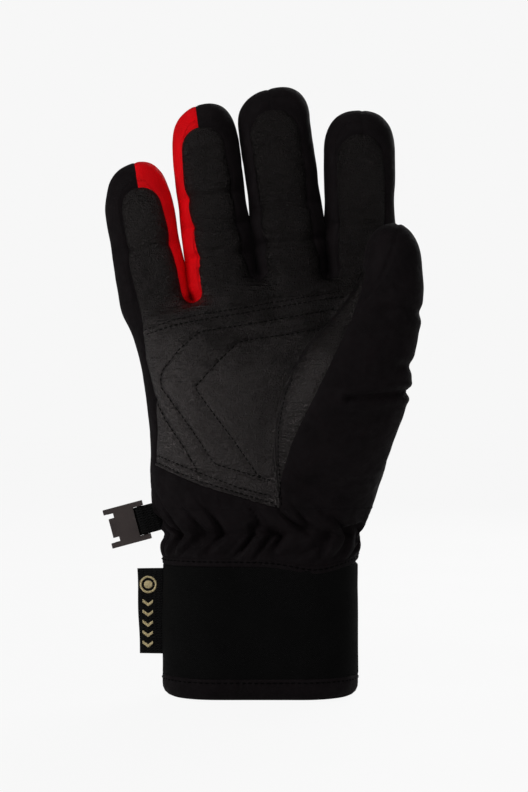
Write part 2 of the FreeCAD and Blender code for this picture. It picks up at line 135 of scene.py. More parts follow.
# the top of the palm, under the crotches between the fingers, as (x, z)
PALM_TOP = [(-70, 170), (-45, 172), (-29.6, 173.8), (-14, 181), (-0.9, 184.6), (14, 185),
            (31.8, 184.8), (46, 184), (66, 181)]
# height: centre x, centre y, half width, half depth of the thumb
THUMB_TABLE = [
    (58.0, 24.0, -3.0, 8.0, 3.0), (72.0, 26.5, -5.0, 13.0, 5.0), (80.0, 27.4, -9.0, 18.0, 6.5),
    (85.0, 28.1, -12.0, 20.0, 8.0), (92.0, 29.1, -16.4, 21.4, 10.2),
    (100.7, 30.4, -21.8, 23.1, 13.0), (110.6, 32.2, -26.4, 25.0, 15.2),
    (125.8, 35.4, -32.4, 27.0, 16.3), (133.0, 37.0, -34.9, 27.1, 16.4),
    (140.3, 38.7, -37.0, 26.4, 16.4), (147.5, 40.9, -38.6, 24.2, 16.2),
    (155.5, 44.5, -39.3, 22.6, 16.0), (164.5, 49.2, -39.6, 19.4, 15.6),
    (172.0, 53.0, -39.8, 16.6, 15.2), (178.5, 55.6, -40.0, 14.7, 14.8),
    (184.0, 56.7, -40.0, 13.4, 14.0), (188.5, 57.1, -40.0, 12.8, 13.4),
    (210.0, 57.4, -40.0, 12.2, 12.6),
]
THUMB_DOME_START, THUMB_TOP = 186.5, 206.4
# the thumb's pieces part on planes that lean with the web: the direction, and how far along it
THUMB_LEAN = np.array([0.0, -0.45, 0.893])
THUMB_LOW, THUMB_SPLIT = 143.6, 157.0
THUMB_TIP_BEND = (165.0, 184.0)

# seams and stitch lines of the palm, seen from the front, as (x, z)
LEATHER_LEFT = [(-45.4, 80), (-45.4, 107), (-45.1, 119), (-46.2, 132), (-48.4, 142.6), (-50.6, 150),
                (-51.8, 167), (-54.5, 178), (-58.0, 191.7)]
THUMB_SEAM = [(8.6, 78), (8.6, 84), (7.8, 97), (7.1, 108), (7.3, 119), (8.6, 127.3), (10.5, 135.3),
              (14.7, 143.3), (19.8, 151.3), (27.8, 160.7)]
PALM_SEAM = [(-60, 160.0), (-50.3, 163.2), (-37.6, 167.4), (-25.2, 169.9), (-8.5, 172.6), (20.6, 177.6),
             (38, 180.3), (70, 185)]
BINDING_TOP = [(-60, 110), (-45.1, 106.7), (-26.6, 99.4), (-8.5, 92.5), (6, 88.9), (20, 86)]
BINDING_LOW = [(-60, 107), (-45.5, 103), (-26.6, 95), (-8.5, 89.6), (7.5, 84.8), (20, 81)]
QUILT_OUTER = [(34.3, 171.6), (6, 166.5), (-7, 164.3), (-24.4, 161.8), (-27, 160.7), (-35.3, 153.4),
               (-42.2, 144.7), (-43.4, 140.4), (-42.9, 136.8), (-37.5, 129.5), (-29.5, 118.6),
               (-20.1, 104.5), (-17.9, 103), (-5.6, 99.4), (6, 96)]
QUILT_INNER = [(28.1, 162.9), (13.3, 160.3), (-1.2, 158.4), (-9.2, 156.7), (-17.2, 149.1),
               (-27.7, 137.5), (-27, 135.3), (-19.4, 124.8), (-11.4, 114.3), (-1.2, 99.4), (2, 97.2),
               (6, 96)]
QUILT_LOWER = [(-45.8, 131.7), (-41.1, 122.6), (-32.4, 109.9), (-25.9, 98.7)]
THUMB_LEATHER = [(8.4, 80), (9.3, 97), (13.0, 110.5), (16.6, 119), (22.9, 131.7), (29.3, 145.1),
                 (34.2, 155.7), (38.9, 165.6), (43.2, 178), (45, 186)]
THUMB_TIP_SEAM = [(59.5, 206), (57, 196), (52.5, 184.6), (47.5, 177), (40, 168)]
THUMB_FOLDS = [([(38, 132), (52, 133.4), (67, 135.4)], 1.5, 1.7),
               ([(46.5, 175.8), (53.6, 177.2)], 1.6, 0.7),
               ([(54, 169.4), (62, 170.6), (69, 169.0)], 2.0, 0.8),
               ([(60, 145.5), (69, 146.5)], 2.0, 0.9)]


# ---------------------------------------------------------------- numeric helpers
def smooth_step(t):
    t = np.clip(t, 0.0, 1.0)
    return t * t * (3.0 - 2.0 * t)


def smooth_min(a, b, k):
    h = np.clip(0.5 + 0.5 * (b - a) / k, 0.0, 1.0)
    return b + (a - b) * h - k * h * (1.0 - h)


def spline_table(table, step=0.25):
    """The table's columns on a fine even ladder of its first column, by a Catmull-Rom curve."""
    t = np.array(table, float)
    z = np.arange(t[0, 0], t[-1, 0], step)
    slope = np.gradient(t[:, 1:], t[:, 0], axis=0)
    i = np.clip(np.searchsorted(t[:, 0], z, "right") - 1, 0, len(t) - 2)
    span = (t[i + 1, 0] - t[i, 0])[:, None]
    u = ((z - t[i, 0])[:, None]) / span
    value = ((2 * u**3 - 3 * u**2 + 1) * t[i, 1:] + (u**3 - 2 * u**2 + u) * span * slope[i]
             + (3 * u**2 - 2 * u**3) * t[i + 1, 1:] + (u**3 - u**2) * span * slope[i + 1])
    return z, value


HAND_Z, HAND_VALUES = spline_table(HAND_TABLE)
THUMB_Z, THUMB_VALUES = spline_table(THUMB_TABLE)


def hash01(i, j, k, seed):
    """A repeatable number from 0 to 1 for each lattice point."""
    n = (i * 374761393 + j * 668265263 + k * 2147483647 + seed * 974711) & 0xFFFFFFFF
    n = ((n ^ (n >> 13)) * 1274126177) & 0xFFFFFFFF
    return ((n ^ (n >> 16)) & 0xFFFF) / 65535.0


def noise(p, size, seed):
    """Smooth noise from -1 to 1 at points p; size is a wavelength, or one for each axis."""
    q = p / np.asarray(size, float)
    cell = np.floor(q).astype(np.int64)
    f = smooth_step(q - cell)
    total = 0.0
    for dx in (0, 1):
        for dy in (0, 1):
            for dz in (0, 1):
                weight = (np.abs(1 - dx - f[:, 0]) * np.abs(1 - dy - f[:, 1])
                          * np.abs(1 - dz - f[:, 2]))
                total = total + weight * hash01(cell[:, 0] + dx, cell[:, 1] + dy,
                                                cell[:, 2] + dz, seed)
    return 2.0 * total - 1.0


def line_distance(x, z, line):
    """How far each point of the front view is from a polyline."""
    best = np.full(x.shape, 1e9)
    for (x0, z0), (x1, z1) in zip(line, line[1:], strict=False):
        dx, dz = x1 - x0, z1 - z0
        t = np.clip(((x - x0) * dx + (z - z0) * dz) / (dx * dx + dz * dz), 0, 1)
        best = np.minimum(best, np.hypot(x - x0 - t * dx, z - z0 - t * dz))
    return best


def curve_at(line, values, by=0):
    """The other coordinate of a seam, read along x (by=0) or along z (by=1)."""
    pts = np.array(line, float)
    order = np.argsort(pts[:, by])
    return np.interp(values, pts[order, by], pts[order, 1 - by])


# ---------------------------------------------------------------- the glove's form
class Finger:
    """One finger in its own frame: u across, y front to back, w up from the knuckle's flex line."""

    def __init__(self, name):
        self.name = name
        knuckle, middle = joints[f"{name}_knuckle"], joints[f"{name}_middle_joint"]
        self.c, self.s = knuckle["axis"][0], knuckle["axis"][2]
        self.x, self.z = knuckle["pos_m"][0] / MM, knuckle["pos_m"][2] / MM
        dx = middle["pos_m"][0] / MM - self.x
        dz = middle["pos_m"][2] / MM - self.z
        self.joint = math.hypot(dx, dz)
        self.split = self.joint - 10.0 if self.joint > 30 else self.joint - 9.0
        (widths, self.set, self.depth, self.length, self.dome, self.skew,
         self.tip_seam) = FINGER_SHAPE[name]
        self.widths = np.array(widths, float).T
        self.face_top, face = FACE_SHAPE[name]
        self.face = np.array(face, float).T

    def local(self, x, z):
        dx, dz = x - self.x, z - self.z
        return dx * self.c + dz * self.s, -dx * self.s + dz * self.c

    def point(self, u, y, w):
        """A point of the finger's frame in the row frame, in metres."""
        return Vector(((self.x + u * self.c - w * self.s) * MM, y * MM,
                       (self.z + u * self.s + w * self.c) * MM))

    def distance(self, x, y, z):
        u, w = self.local(x, z)
        u = u - self.set
        pinch = 1.0 - 0.025 * np.exp(-(((w - self.joint) / 6.0) ** 2))
        sink = 1.0 - 0.55 * smooth_step(-w / 26.0)
        a = np.interp(w, *self.widths) * pinch * sink
        b = self.depth / 2 * pinch * sink
        top = np.maximum(w - self.skew * u - (self.length - self.dome), 0.0) / self.dome
        n = BOXINESS
        fu, fy = np.abs(u / a) + 1e-6, np.abs(y / b) + 1e-6
        k = (fu**n + fy**n + top**n) ** (1 / n)
        slope = np.sqrt((fu ** (n - 1) / a) ** 2 + (fy ** (n - 1) / b) ** 2
                        + (top ** (n - 1) / self.dome) ** 2) * k ** (1 - n)
        return (k - 1.0) / slope

    def face_level(self, x, z):
        """Negative where the leather face is, looking from the front."""
        u, w = self.local(x, z)
        left, right = np.interp(w, self.face[0], self.face[1]), np.interp(w, self.face[0], self.face[2])
        half, middle = (right - left) / 2, (right + left) / 2
        rise = np.maximum(w - (self.face_top - half), 0.0)
        return np.hypot(u - middle, rise) - half - 14.0 * smooth_step((7.0 - w) / 6.0)


FINGERS = [Finger(n) for n in FINGER_NAMES]


def palm_distance(x, y, z):
    left, right, depth = (np.interp(z, HAND_Z, HAND_VALUES[:, i]) for i in range(3))
    r = depth / 2
    over = np.maximum(np.abs(x - (left + right) / 2) - ((right - left) / 2 - r), 0.0)
    side = np.sqrt(over**2 + y**2) - r
    top = z - curve_at(PALM_TOP, x)
    return -smooth_min(-side, -top, 9.0)


def thumb_level(x, y, z):
    cx, cy, a, b = (np.interp(z, THUMB_Z, THUMB_VALUES[:, i]) for i in range(4))
    n = 2.25
    top = np.maximum(z - THUMB_DOME_START, 0.0) / (THUMB_TOP - THUMB_DOME_START)
    return (np.abs((x - cx) / a) ** n + np.abs((y - cy) / b) ** n + top**n) ** (1 / n) - 1.0


def thumb_distance(x, y, z):
    e = 0.5
    f = thumb_level(x, y, z)
    gx = (thumb_level(x + e, y, z) - thumb_level(x - e, y, z)) / (2 * e)
    gy = (thumb_level(x, y + e, z) - thumb_level(x, y - e, z)) / (2 * e)
    gz = (thumb_level(x, y, z + e) - thumb_level(x, y, z - e)) / (2 * e)
    return f / np.sqrt(gx**2 + gy**2 + gz**2 + 1e-8)


def finger_distance(f, x, y, z):
    return np.maximum(f.distance(x, y, z), f.z - 34.0 - z)


def hand_distance(x, y, z):
    fingers = finger_distance(FINGERS[0], x, y, z)
    for f in FINGERS[1:]:
        fingers = smooth_min(fingers, finger_distance(f, x, y, z), 1.2)
    return smooth_min(palm_distance(x, y, z), fingers, 5.0)


def glove_distance(x, y, z):
    k = 1.2 + 5.0 * smooth_step((152.0 - z) / 14.0)
    return smooth_min(hand_distance(x, y, z), thumb_distance(x, y, z), k)


def surface(distance, low, high, step):
    """The zero level of a field, as points and triangles, by surface nets on a grid."""
    axes = [np.arange(lo, hi + step, step) for lo, hi in zip(low, high, strict=True)]
    x, y, z = np.meshgrid(*axes, indexing="ij")
    field = distance(x, y, z)
    inside = field < 0
    size = [n - 1 for n in field.shape]

    def corner(values, o):
        return values[o[0]:o[0] + size[0], o[1]:o[1] + size[1], o[2]:o[2] + size[2]]

    offsets = [(i, j, k) for i in (0, 1) for j in (0, 1) for k in (0, 1)]
    count = sum(corner(inside, o).astype(np.int8) for o in offsets)
    cells = np.argwhere((count > 0) & (count < 8))
    number = np.full(size, -1, np.int64)
    number[tuple(cells.T)] = np.arange(len(cells))
    total, hits = np.zeros((len(cells), 3)), np.zeros(len(cells))
    for axis in range(3):
        for o in offsets:
            if o[axis]:
                continue
            start, end = np.array(o), np.array(o) + np.eye(3, dtype=int)[axis]
            a = field[tuple((cells + start).T)]
            b = field[tuple((cells + end).T)]
            crossed = (a < 0) != (b < 0)
            t = np.where(crossed, a / np.where(crossed, a - b, 1.0), 0.0)
            total += np.where(crossed[:, None], start + t[:, None] * (end - start), 0.0)
            hits += crossed
    points = (cells + total / hits[:, None]) * step + np.array([a[0] for a in axes])
    quads = []
    for axis in range(3):
        u, v = [(1, 2), (2, 0), (0, 1)][axis]
        first = [slice(None)] * 3
        last = [slice(None)] * 3
        first[axis], last[axis] = slice(0, -1), slice(1, None)
        a, b = inside[tuple(first)], inside[tuple(last)]
        at = np.argwhere(a != b)
        at = at[(at[:, u] > 0) & (at[:, v] > 0) & (at[:, u] < size[u]) & (at[:, v] < size[v])]
        du, dv = np.eye(3, dtype=int)[u], np.eye(3, dtype=int)[v]
        ring = np.stack([number[tuple((at - s).T)] for s in (0 * du, du, du + dv, dv)], 1)
        outward = a[tuple(at.T)]
        ring[~outward] = ring[~outward][:, ::-1]
        quads.append(ring)
    quads = np.vstack(quads)
    quads = quads[(quads >= 0).all(1)]
    p = points[quads]
    short = (np.linalg.norm(p[:, 0] - p[:, 2], axis=1)
             < np.linalg.norm(p[:, 1] - p[:, 3], axis=1))[:, None]
    one = np.where(short, quads[:, [0, 1, 2]], quads[:, [0, 1, 3]])
    two = np.where(short, quads[:, [0, 2, 3]], quads[:, [1, 2, 3]])
    return points, np.vstack([one, two])


def gradient(distance, p, e=0.4):
    g = np.zeros_like(p)
    for axis in range(3):
        step = np.eye(3)[axis] * e
        g[:, axis] = distance(*(p + step).T) - distance(*(p - step).T)
    return g / (2 * e)


def settle(distance, p, level=0.0, rounds=3):
    """Moves points onto a level of the field."""
    for _ in range(rounds):
        g = gradient(distance, p)
        p = p - g * ((distance(*p.T) - level) / np.maximum((g**2).sum(1), 0.2))[:, None]
    return p


def cut(points, triangles, level):
    """Splits triangles along the zero line of a value given for each point."""
    s = np.where(np.abs(level) < 0.06, 0.0, level)
    edges = np.sort(np.vstack([triangles[:, [0, 1]], triangles[:, [1, 2]], triangles[:, [2, 0]]]), 1)
    crossed = edges[s[edges[:, 0]] * s[edges[:, 1]] < 0]
    crossed = np.unique(crossed, axis=0)
    if not len(crossed):
        return points, triangles
    a, b = crossed.T
    t = (s[a] / (s[a] - s[b]))[:, None]
    new = points[a] * (1 - t) + points[b] * t
    key = crossed[:, 0] * (len(points) + 1) + crossed[:, 1]
    start = len(points)

    def middle(i, j):
        low, high = np.minimum(i, j), np.maximum(i, j)
        return start + np.searchsorted(key, low * (len(points) + 1) + high)

    sign = np.sign(s[triangles])
    kept = [triangles[~((sign.min(1) < 0) & (sign.max(1) > 0))]]
    for turn in range(3):
        t3 = np.roll(triangles, -turn, axis=1)
        s3 = np.sign(s[t3])
        lone = (s3[:, 0] * s3[:, 1] < 0) & (s3[:, 0] * s3[:, 2] < 0)
        i, j, k = t3[lone].T
        if len(i):
            p, q = middle(i, j), middle(i, k)
            kept += [np.stack([i, p, q], 1), np.stack([p, j, k], 1), np.stack([p, k, q], 1)]
        on_line = (s3[:, 0] == 0) & (s3[:, 1] * s3[:, 2] < 0)
        i, j, k = t3[on_line].T
        if len(i):
            p = middle(j, k)
            kept += [np.stack([i, j, p], 1), np.stack([i, p, k], 1)]
    return np.vstack([points, new]), np.vstack(kept)


# ---------------------------------------------------------------- which piece a place belongs to
HAND, THUMB, SLEEVE, NOWHERE = 4, 5, 6, 7


def along_finger(p, only=None):
    """Height and sideways place of each point on its nearest finger, and that finger's number."""
    x, y, z = p.T
    if only is None:
        near = np.stack([f.distance(x, y, z) for f in FINGERS], 1).argmin(1)
    else:
        near = np.full(len(p), only)
    local = [f.local(x, z) for f in FINGERS]
    return np.choose(near, [v[1] for v in local]), np.choose(near, [v[0] for v in local]), near


def of_each(near, values):
    return np.choose(near, list(values))


def owners(p, only=None):
    """Each point's finger number, HAND, THUMB or SLEEVE; NOWHERE is what another surface covers.

    One finger's own surface is named by only; without it, the surface is the hand's.
    """
    w, _, near = along_finger(p, only)
    if only is not None:
        return np.where(w < 0, NOWHERE, only)
    x, y, z = p.T
    owner = np.where(w < 0, HAND, NOWHERE)
    is_thumb = (thumb_distance(x, y, z) < hand_distance(x, y, z)) & (z > HAND_BOTTOM)
    is_thumb |= (y < -2.5) & (z > HAND_BOTTOM) & (z < 146) & (x > curve_at(THUMB_SEAM, z, 1))
    return np.where(z < HAND_BOTTOM, SLEEVE, np.where(is_thumb, THUMB, owner))


def crotch_level(x, z):
    """Negative inside the rounded ends of the fourchettes, looking from the front."""
    return np.min([line_distance(x, z, (foot, head)) - half for foot, head, half in CROTCHES], 0)


def face_level(p):
    """Negative on the palm leather: the fingers' faces, and the palm they run down into."""
    x, y, z = p.T
    best = np.min([f.face_level(x, z) for f in FINGERS], 0)
    left = curve_at(LEATHER_LEFT, z, by=1) - x
    best = np.maximum(best, np.where(z > 190, -1e3, left))
    return np.maximum(np.maximum(best, -crotch_level(x, z)), y + 2.5)


def thumb_leather_level(p):
    x, y, z = p.T
    cy = np.interp(z, THUMB_Z, THUMB_VALUES[:, 1])
    edge = curve_at(THUMB_LEATHER, z, by=1) + 0.8 * np.maximum(y - cy, 0.0)
    return np.maximum(x - edge, z - 187.0)


def cut_all(points, triangles, levels):
    for level in levels:
        points, triangles = cut(points, triangles, level(points))
    return points, triangles


def hand_surface():
    """The hand, thumb and sleeve, cut along their seams."""
    points, triangles = surface(glove_distance, (-70, -60, 57), (76, 27, 213), GRID)
    points = settle(glove_distance, points)
    far = 10.0

    def thumb_only(p, value):
        return np.where(thumb_distance(*p.T) < hand_distance(*p.T) + 1.5, value, far)

    def hand_only(p, value):
        return np.where(thumb_distance(*p.T) > hand_distance(*p.T) - 1.5, value, far)

    def beside_thumb(p):
        here = (p[:, 1] < 0) & (p[:, 2] < 146)
        return np.where(here, p[:, 0] - curve_at(THUMB_SEAM, p[:, 2], 1), far)

    return cut_all(points, triangles, (
        lambda p: p[:, 2] - HAND_BOTTOM,
        lambda p: np.where(p[:, 2] < HAND_BOTTOM - 2, far,
                           thumb_distance(*p.T) - hand_distance(*p.T)),
        lambda p: np.where(owners(p) == THUMB, -far, along_finger(p)[0]),
        lambda p: hand_only(p, face_level(p)),
        lambda p: hand_only(p, p[:, 2] - curve_at(PALM_SEAM, p[:, 0])),
        lambda p: hand_only(p, p[:, 2] - curve_at(BINDING_TOP, p[:, 0])),
        lambda p: hand_only(p, p[:, 2] - curve_at(BINDING_LOW, p[:, 0])),
        lambda p: hand_only(p, beside_thumb(p)),
        thumb_leather_level,
        lambda p: thumb_only(p, p @ THUMB_LEAN - THUMB_LOW),
        lambda p: thumb_only(p, p @ THUMB_LEAN - THUMB_SPLIT),
    ))


def finger_surface(i):
    """One finger with a little of the palm below it, cut along its seams and its joint."""
    f = FINGERS[i]

    def distance(x, y, z):
        return smooth_min(palm_distance(x, y, z), finger_distance(f, x, y, z), 5.0)

    tip = f.point(0, 0, f.length) / MM
    low = (min(f.x, tip.x) - 21, -18, f.z - 8)
    high = (max(f.x, tip.x) + 21, 18, tip.z + 4)
    points, triangles = surface(distance, low, high, FINGER_GRID)
    points = settle(distance, points)
    return cut_all(points, triangles, (
        lambda p: f.local(p[:, 0], p[:, 2])[1],
        lambda p: f.local(p[:, 0], p[:, 2])[1] - f.split,
        face_level,
        lambda p: p[:, 1] - GUSSET_BACK_Y,
        lambda p: np.where(f.local(p[:, 0], p[:, 2])[1] > f.length - 20,
                           f.local(p[:, 0], p[:, 2])[0] - f.tip_seam, 10.0),
    ))


def label(points, triangles, only=None):
    """The name of the piece that each triangle belongs to; no name where nothing is kept."""
    c = points[triangles].mean(1)
    owner = owners(c, only)
    w, u, _ = along_finger(c, only)
    face = face_level(c) < 0
    names = np.full(len(c), "back_panel", dtype="U24")
    z = c[:, 2]
    seam = z > curve_at(PALM_SEAM, c[:, 0])
    above_binding = z > curve_at(BINDING_TOP, c[:, 0])
    below_binding = z < curve_at(BINDING_LOW, c[:, 0])
    left_edge = curve_at(LEATHER_LEFT, z, by=1)
    hand = owner == HAND
    names[hand & face & seam] = "palm_upper_leather"
    names[hand & face & ~seam & above_binding] = "palm_patch"
    inner = hand & (c[:, 1] < -2.5) & (c[:, 0] > left_edge) & (c[:, 0] < 30)
    names[inner & ~above_binding & ~below_binding] = "palm_patch_binding"
    names[inner & below_binding] = "heel_panel"
    crotch = hand & ~face & (c[:, 1] < GUSSET_BACK_Y) & (z > 170)
    names[crotch & (np.abs(c[:, 0] + 29.6) < 12) & (z > 174)] = "crotch_red"
    for x in (-0.9, 31.8):
        names[crotch & (np.abs(c[:, 0] - x) < 12) & (z > 180)] = "crotch_black"
    if only is not None:
        f = FINGERS[only]
        for zone, here in (("base", w < f.split), ("tip", w >= f.split)):
            gusset = here & ~face & (c[:, 1] < GUSSET_BACK_Y)
            names[here & face] = f"{f.name}_{zone}_face"
            names[here & ~face & (c[:, 1] >= GUSSET_BACK_Y)] = f"{f.name}_{zone}_back"
            names[gusset] = f"{f.name}_{zone}_gusset"
            if f.name in RED_SIDE:
                black = gusset & ((u - f.tip_seam) * RED_SIDE[f.name] < 0)
                names[black] = f"{f.name}_{zone}_outer_gusset"
    lean = c @ THUMB_LEAN
    zones = np.where(lean < THUMB_LOW, "root", np.where(lean < THUMB_SPLIT, "base", "tip"))
    leather = thumb_leather_level(c) < 0
    for zone in ("root", "base", "tip"):
        names[(owner == THUMB) & (zones == zone) & leather] = f"thumb_{zone}_leather"
        names[(owner == THUMB) & (zones == zone) & ~leather] = f"thumb_{zone}_fabric"
    names[owner == SLEEVE] = "wrist_gather_sleeve"
    names[owner == NOWHERE] = ""
    return names


def panels(c, names, only=None):
    """A number for each triangle's sewn panel, which runs on across the pieces' joint lines."""
    _, u, near = along_finger(c, only)
    tip = np.choose(near, [f.tip_seam for f in FINGERS])
    number = np.full(len(c), 4)
    ends = {"_face": 0, "_upper_leather": 0, "_patch": 1, "_binding": 2, "heel_panel": 3,
            "_sleeve": 3, "_leather": 20, "_fabric": 21}
    for i, name in enumerate(names):
        for end, value in ends.items():
            if name.endswith(end):
                number[i] = value
                break
    side = 10 + near + (u <= tip)
    number = np.where(np.char.endswith(names, "_gusset"), side, number)
    number[names == "crotch_red"] = 13
    black = names == "crotch_black"
    number[black] = np.where(c[black, 0] > 15, 11, 12)
    number[names == ""] = -1
    return number


def seam_points(points, triangles, panel):
    """Points along the edges where two panels are sewn together."""
    edges = np.vstack([triangles[:, [0, 1]], triangles[:, [1, 2]], triangles[:, [2, 0]]])
    edges.sort(axis=1)
    panel = np.tile(panel, 3)
    order = np.lexsort((edges[:, 1], edges[:, 0]))
    edges, panel = edges[order], panel[order]
    seam = (edges[1:] == edges[:-1]).all(1) & (panel[1:] != panel[:-1])
    low = np.minimum(panel[1:], panel[:-1])[seam]
    high = np.maximum(panel[1:], panel[:-1])[seam]
    a, b = points[edges[1:][seam]].transpose(1, 0, 2)
    middle = (a + b) / 2
    w = along_finger(middle)[0]
    loose = (low == 4) & np.isin(high, (10, 14)) & (w < 1.0)
    tip = (low >= 10) & (high < 20)
    real = ((middle[:, 2] > HAND_BOTTOM + 0.4) & ~loose & ~tip & ~((low == 3) & (high == 4))
            & (low >= 0))
    return np.vstack([a[real], middle[real], b[real]])


def nearest(points, others, limit=30.0):
    tree = KDTree(len(others))
    for i, q in enumerate(others):
        tree.insert(q, i)
    tree.balance()
    return np.minimum([tree.find(q)[2] for q in points], limit)


def vertex_normals(points, triangles):
    a, b, c = (points[triangles[:, i]] for i in range(3))
    face = np.cross(b - a, c - a)
    total = np.zeros_like(points)
    for i in range(3):
        np.add.at(total, triangles[:, i], face)
    return total / np.maximum(np.linalg.norm(total, axis=1), 1e-9)[:, None]


def dent(d, width):
    return np.exp(-((d / width) ** 2))


def folds(p, seam, only=None):
    """How far each point of the outside moves out (mm): seams, quilting, creases and gathers."""
    x, y, z = p.T
    w, u, near = along_finger(p, only)
    owner = near if only is not None else owners(p)
    on_hand, on_thumb = owner == HAND, owner == THUMB
    palm = on_hand & (y < -4)
    out = -0.5 * dent(seam, 0.7) - 0.25 * dent(seam, 1.8) + 0.4 * (1 - dent(seam, 5.0))
    tip_seam = of_each(near, (f.tip_seam for f in FINGERS))
    at_tip = (owner < HAND) & (w > of_each(near, (f.length - 19 for f in FINGERS)))
    out += np.where(at_tip, -0.3 * dent(u - tip_seam, 0.7), 0.0)
    quilt = np.minimum(np.minimum(line_distance(x, z, QUILT_OUTER), line_distance(x, z, QUILT_INNER)),
                       line_distance(x, z, QUILT_LOWER))
    out += np.where(palm, -0.7 * dent(quilt, 0.7) - 0.35 * dent(quilt, 2.4) + 0.2, 0.0)
    for line, width, depth in THUMB_FOLDS:
        d = line_distance(x, z, line)
        ridge = 0.35 * depth * dent(d - 2.2 * width, width)
        out += np.where(on_thumb & (y < -30), ridge - depth * dent(d, width), 0.0)
    tip_line = line_distance(x, z, THUMB_TIP_SEAM)
    tip_groove = -0.5 * dent(tip_line, 0.7) + 0.2 * dent(tip_line - 1.5, 1.0)
    out += np.where(on_thumb & (y < -38), tip_groove, 0.0)
    front = smooth_step((-y - 2.0) / 8.0)
    for i, creases in enumerate(((20.0,), (12.5, 29.0), (10.5, 24.0, 37.0), (22.5,))):
        wave = w + 1.2 * noise(p, 9.0, 40 + i)
        for level in creases:
            groove = 0.8 * dent(wave - level, 1.5) + 1.1 * dent(wave - level, 4.5)
            out += np.where((owner == i), -groove * front, 0.0)
        back = dent(wave - FINGERS[i].joint, 2.6) + 0.8 * dent(wave - FINGERS[i].joint - 6, 2.0)
        out += np.where((owner == i) & (y > 4), -0.5 * back, 0.0)
    out += 0.55 * noise(p, 26.0, 1) + 0.28 * noise(p, (12.0, 12.0, 9.0), 2)
    out += 0.10 * noise(p, 4.0, 3)
    return out + np.where(z < 110, gathers(p), 0.0)


def gathers(p):
    """The wrist's cloth drawn in along its elastic: sharp pleats that lean away from that line."""
    x, y, z = p.T
    around = np.arctan2(y, x * 0.55) * 30.0
    lean = around + 0.5 * np.abs(z - ELASTIC_Z) + 1.6 * noise(p, 14.0, 5)
    flat = np.zeros_like(z)
    pleat = noise(np.stack([lean, flat, z * 0.5], 1), (4.6, 5.0, 7.0), 6)
    small = noise(np.stack([lean, flat, z * 0.5], 1), (2.6, 5.0, 5.0), 7)
    fade = 1.5 * dent(z - ELASTIC_Z, 8.0) + 0.4 * dent(z - ELASTIC_Z, 19.0)
    fade = fade * smooth_step((z - 60.0) / 4.0)
    sharp = 0.9 - 2.4 * np.maximum(1.0 - 3.0 * np.abs(pleat), 0.0) - 0.7 * np.maximum(small, 0.0)
    return fade * sharp - 0.7 * dent(z - ELASTIC_Z, 1.6) * (z > 60)


# ---------------------------------------------------------------- meshes
def mesh_object(name, points, faces, normals=None, cloth=None):
    """A smooth mesh from points in mm and equal-sided faces, keeping its rest place for textures."""
    faces = np.asarray(faces)
    mesh = bpy.data.meshes.new(name)
    sides = faces.shape[1]
    mesh.vertices.add(len(points))
    mesh.vertices.foreach_set("co", np.ravel(np.asarray(points) * MM))
    mesh.loops.add(faces.size)
    mesh.loops.foreach_set("vertex_index", np.ravel(faces).astype(np.int32))
    mesh.polygons.add(len(faces))
    mesh.polygons.foreach_set("loop_start", np.arange(0, faces.size, sides, dtype=np.int32))
    mesh.polygons.foreach_set("use_smooth", np.ones(len(faces), bool))
    mesh.update(calc_edges=True)
    rest = mesh.attributes.new("rest", "FLOAT_VECTOR", "POINT")
    rest.data.foreach_set("vector", np.ravel(np.asarray(points) * MM))
    if cloth is not None:
        uv = mesh.attributes.new("cloth", "FLOAT_VECTOR", "POINT")
        uv.data.foreach_set("vector", np.ravel(cloth * MM))
    if normals is not None:
        mesh.normals_split_custom_set_from_vertices(normals.tolist())
    obj = bpy.data.objects.new(name, mesh)
    bpy.context.scene.collection.objects.link(obj)
    return obj


def part_of(points, triangles, normals, cloth, chosen, name):
    used, faces = np.unique(triangles[chosen], return_inverse=True)
    return mesh_object(name, points[used], faces.reshape(-1, 3), normals[used], cloth[used])


def place(obj, name, slot, node=None, fill=None):
    """Hangs a piece on the CAD body that it belongs to, by its piece name."""
    for f in FINGERS:
        if name.startswith(f.name + "_base"):
            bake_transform(obj, "hand", f"{f.name}_base", f.point(0, 0, 0), f.point(0, 0, f.split))
        elif name.startswith(f.name + "_tip"):
            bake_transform(obj, f"{f.name}_base", f"{f.name}_tip", f.point(0, 0, f.split),
                     f.point(0, 0, 2 * f.joint - f.split))
    if name.startswith("thumb_base"):
        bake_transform(obj, "hand", "thumb_base", THUMB_LEAN * THUMB_LOW * MM,
                 THUMB_LEAN * THUMB_SPLIT * MM)
    elif name.startswith("thumb_tip"):
        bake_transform(obj, "thumb_base", "thumb_tip", (0, 0, THUMB_TIP_BEND[0] * MM),
                 (0, 0, THUMB_TIP_BEND[1] * MM))
    elif name in ("wrist_gather_sleeve", "hand_lining"):
        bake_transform(obj, "cuff", "hand", (0, 0, 62 * MM), (0, 0, HAND_BOTTOM * MM))
    elif "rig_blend" not in obj:
        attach(obj, "hand")
    obj.data.materials.append(SLOT_MATERIALS[slot])
    for n in np.atleast_1d(node if node is not None else []):
        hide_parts(str(n))


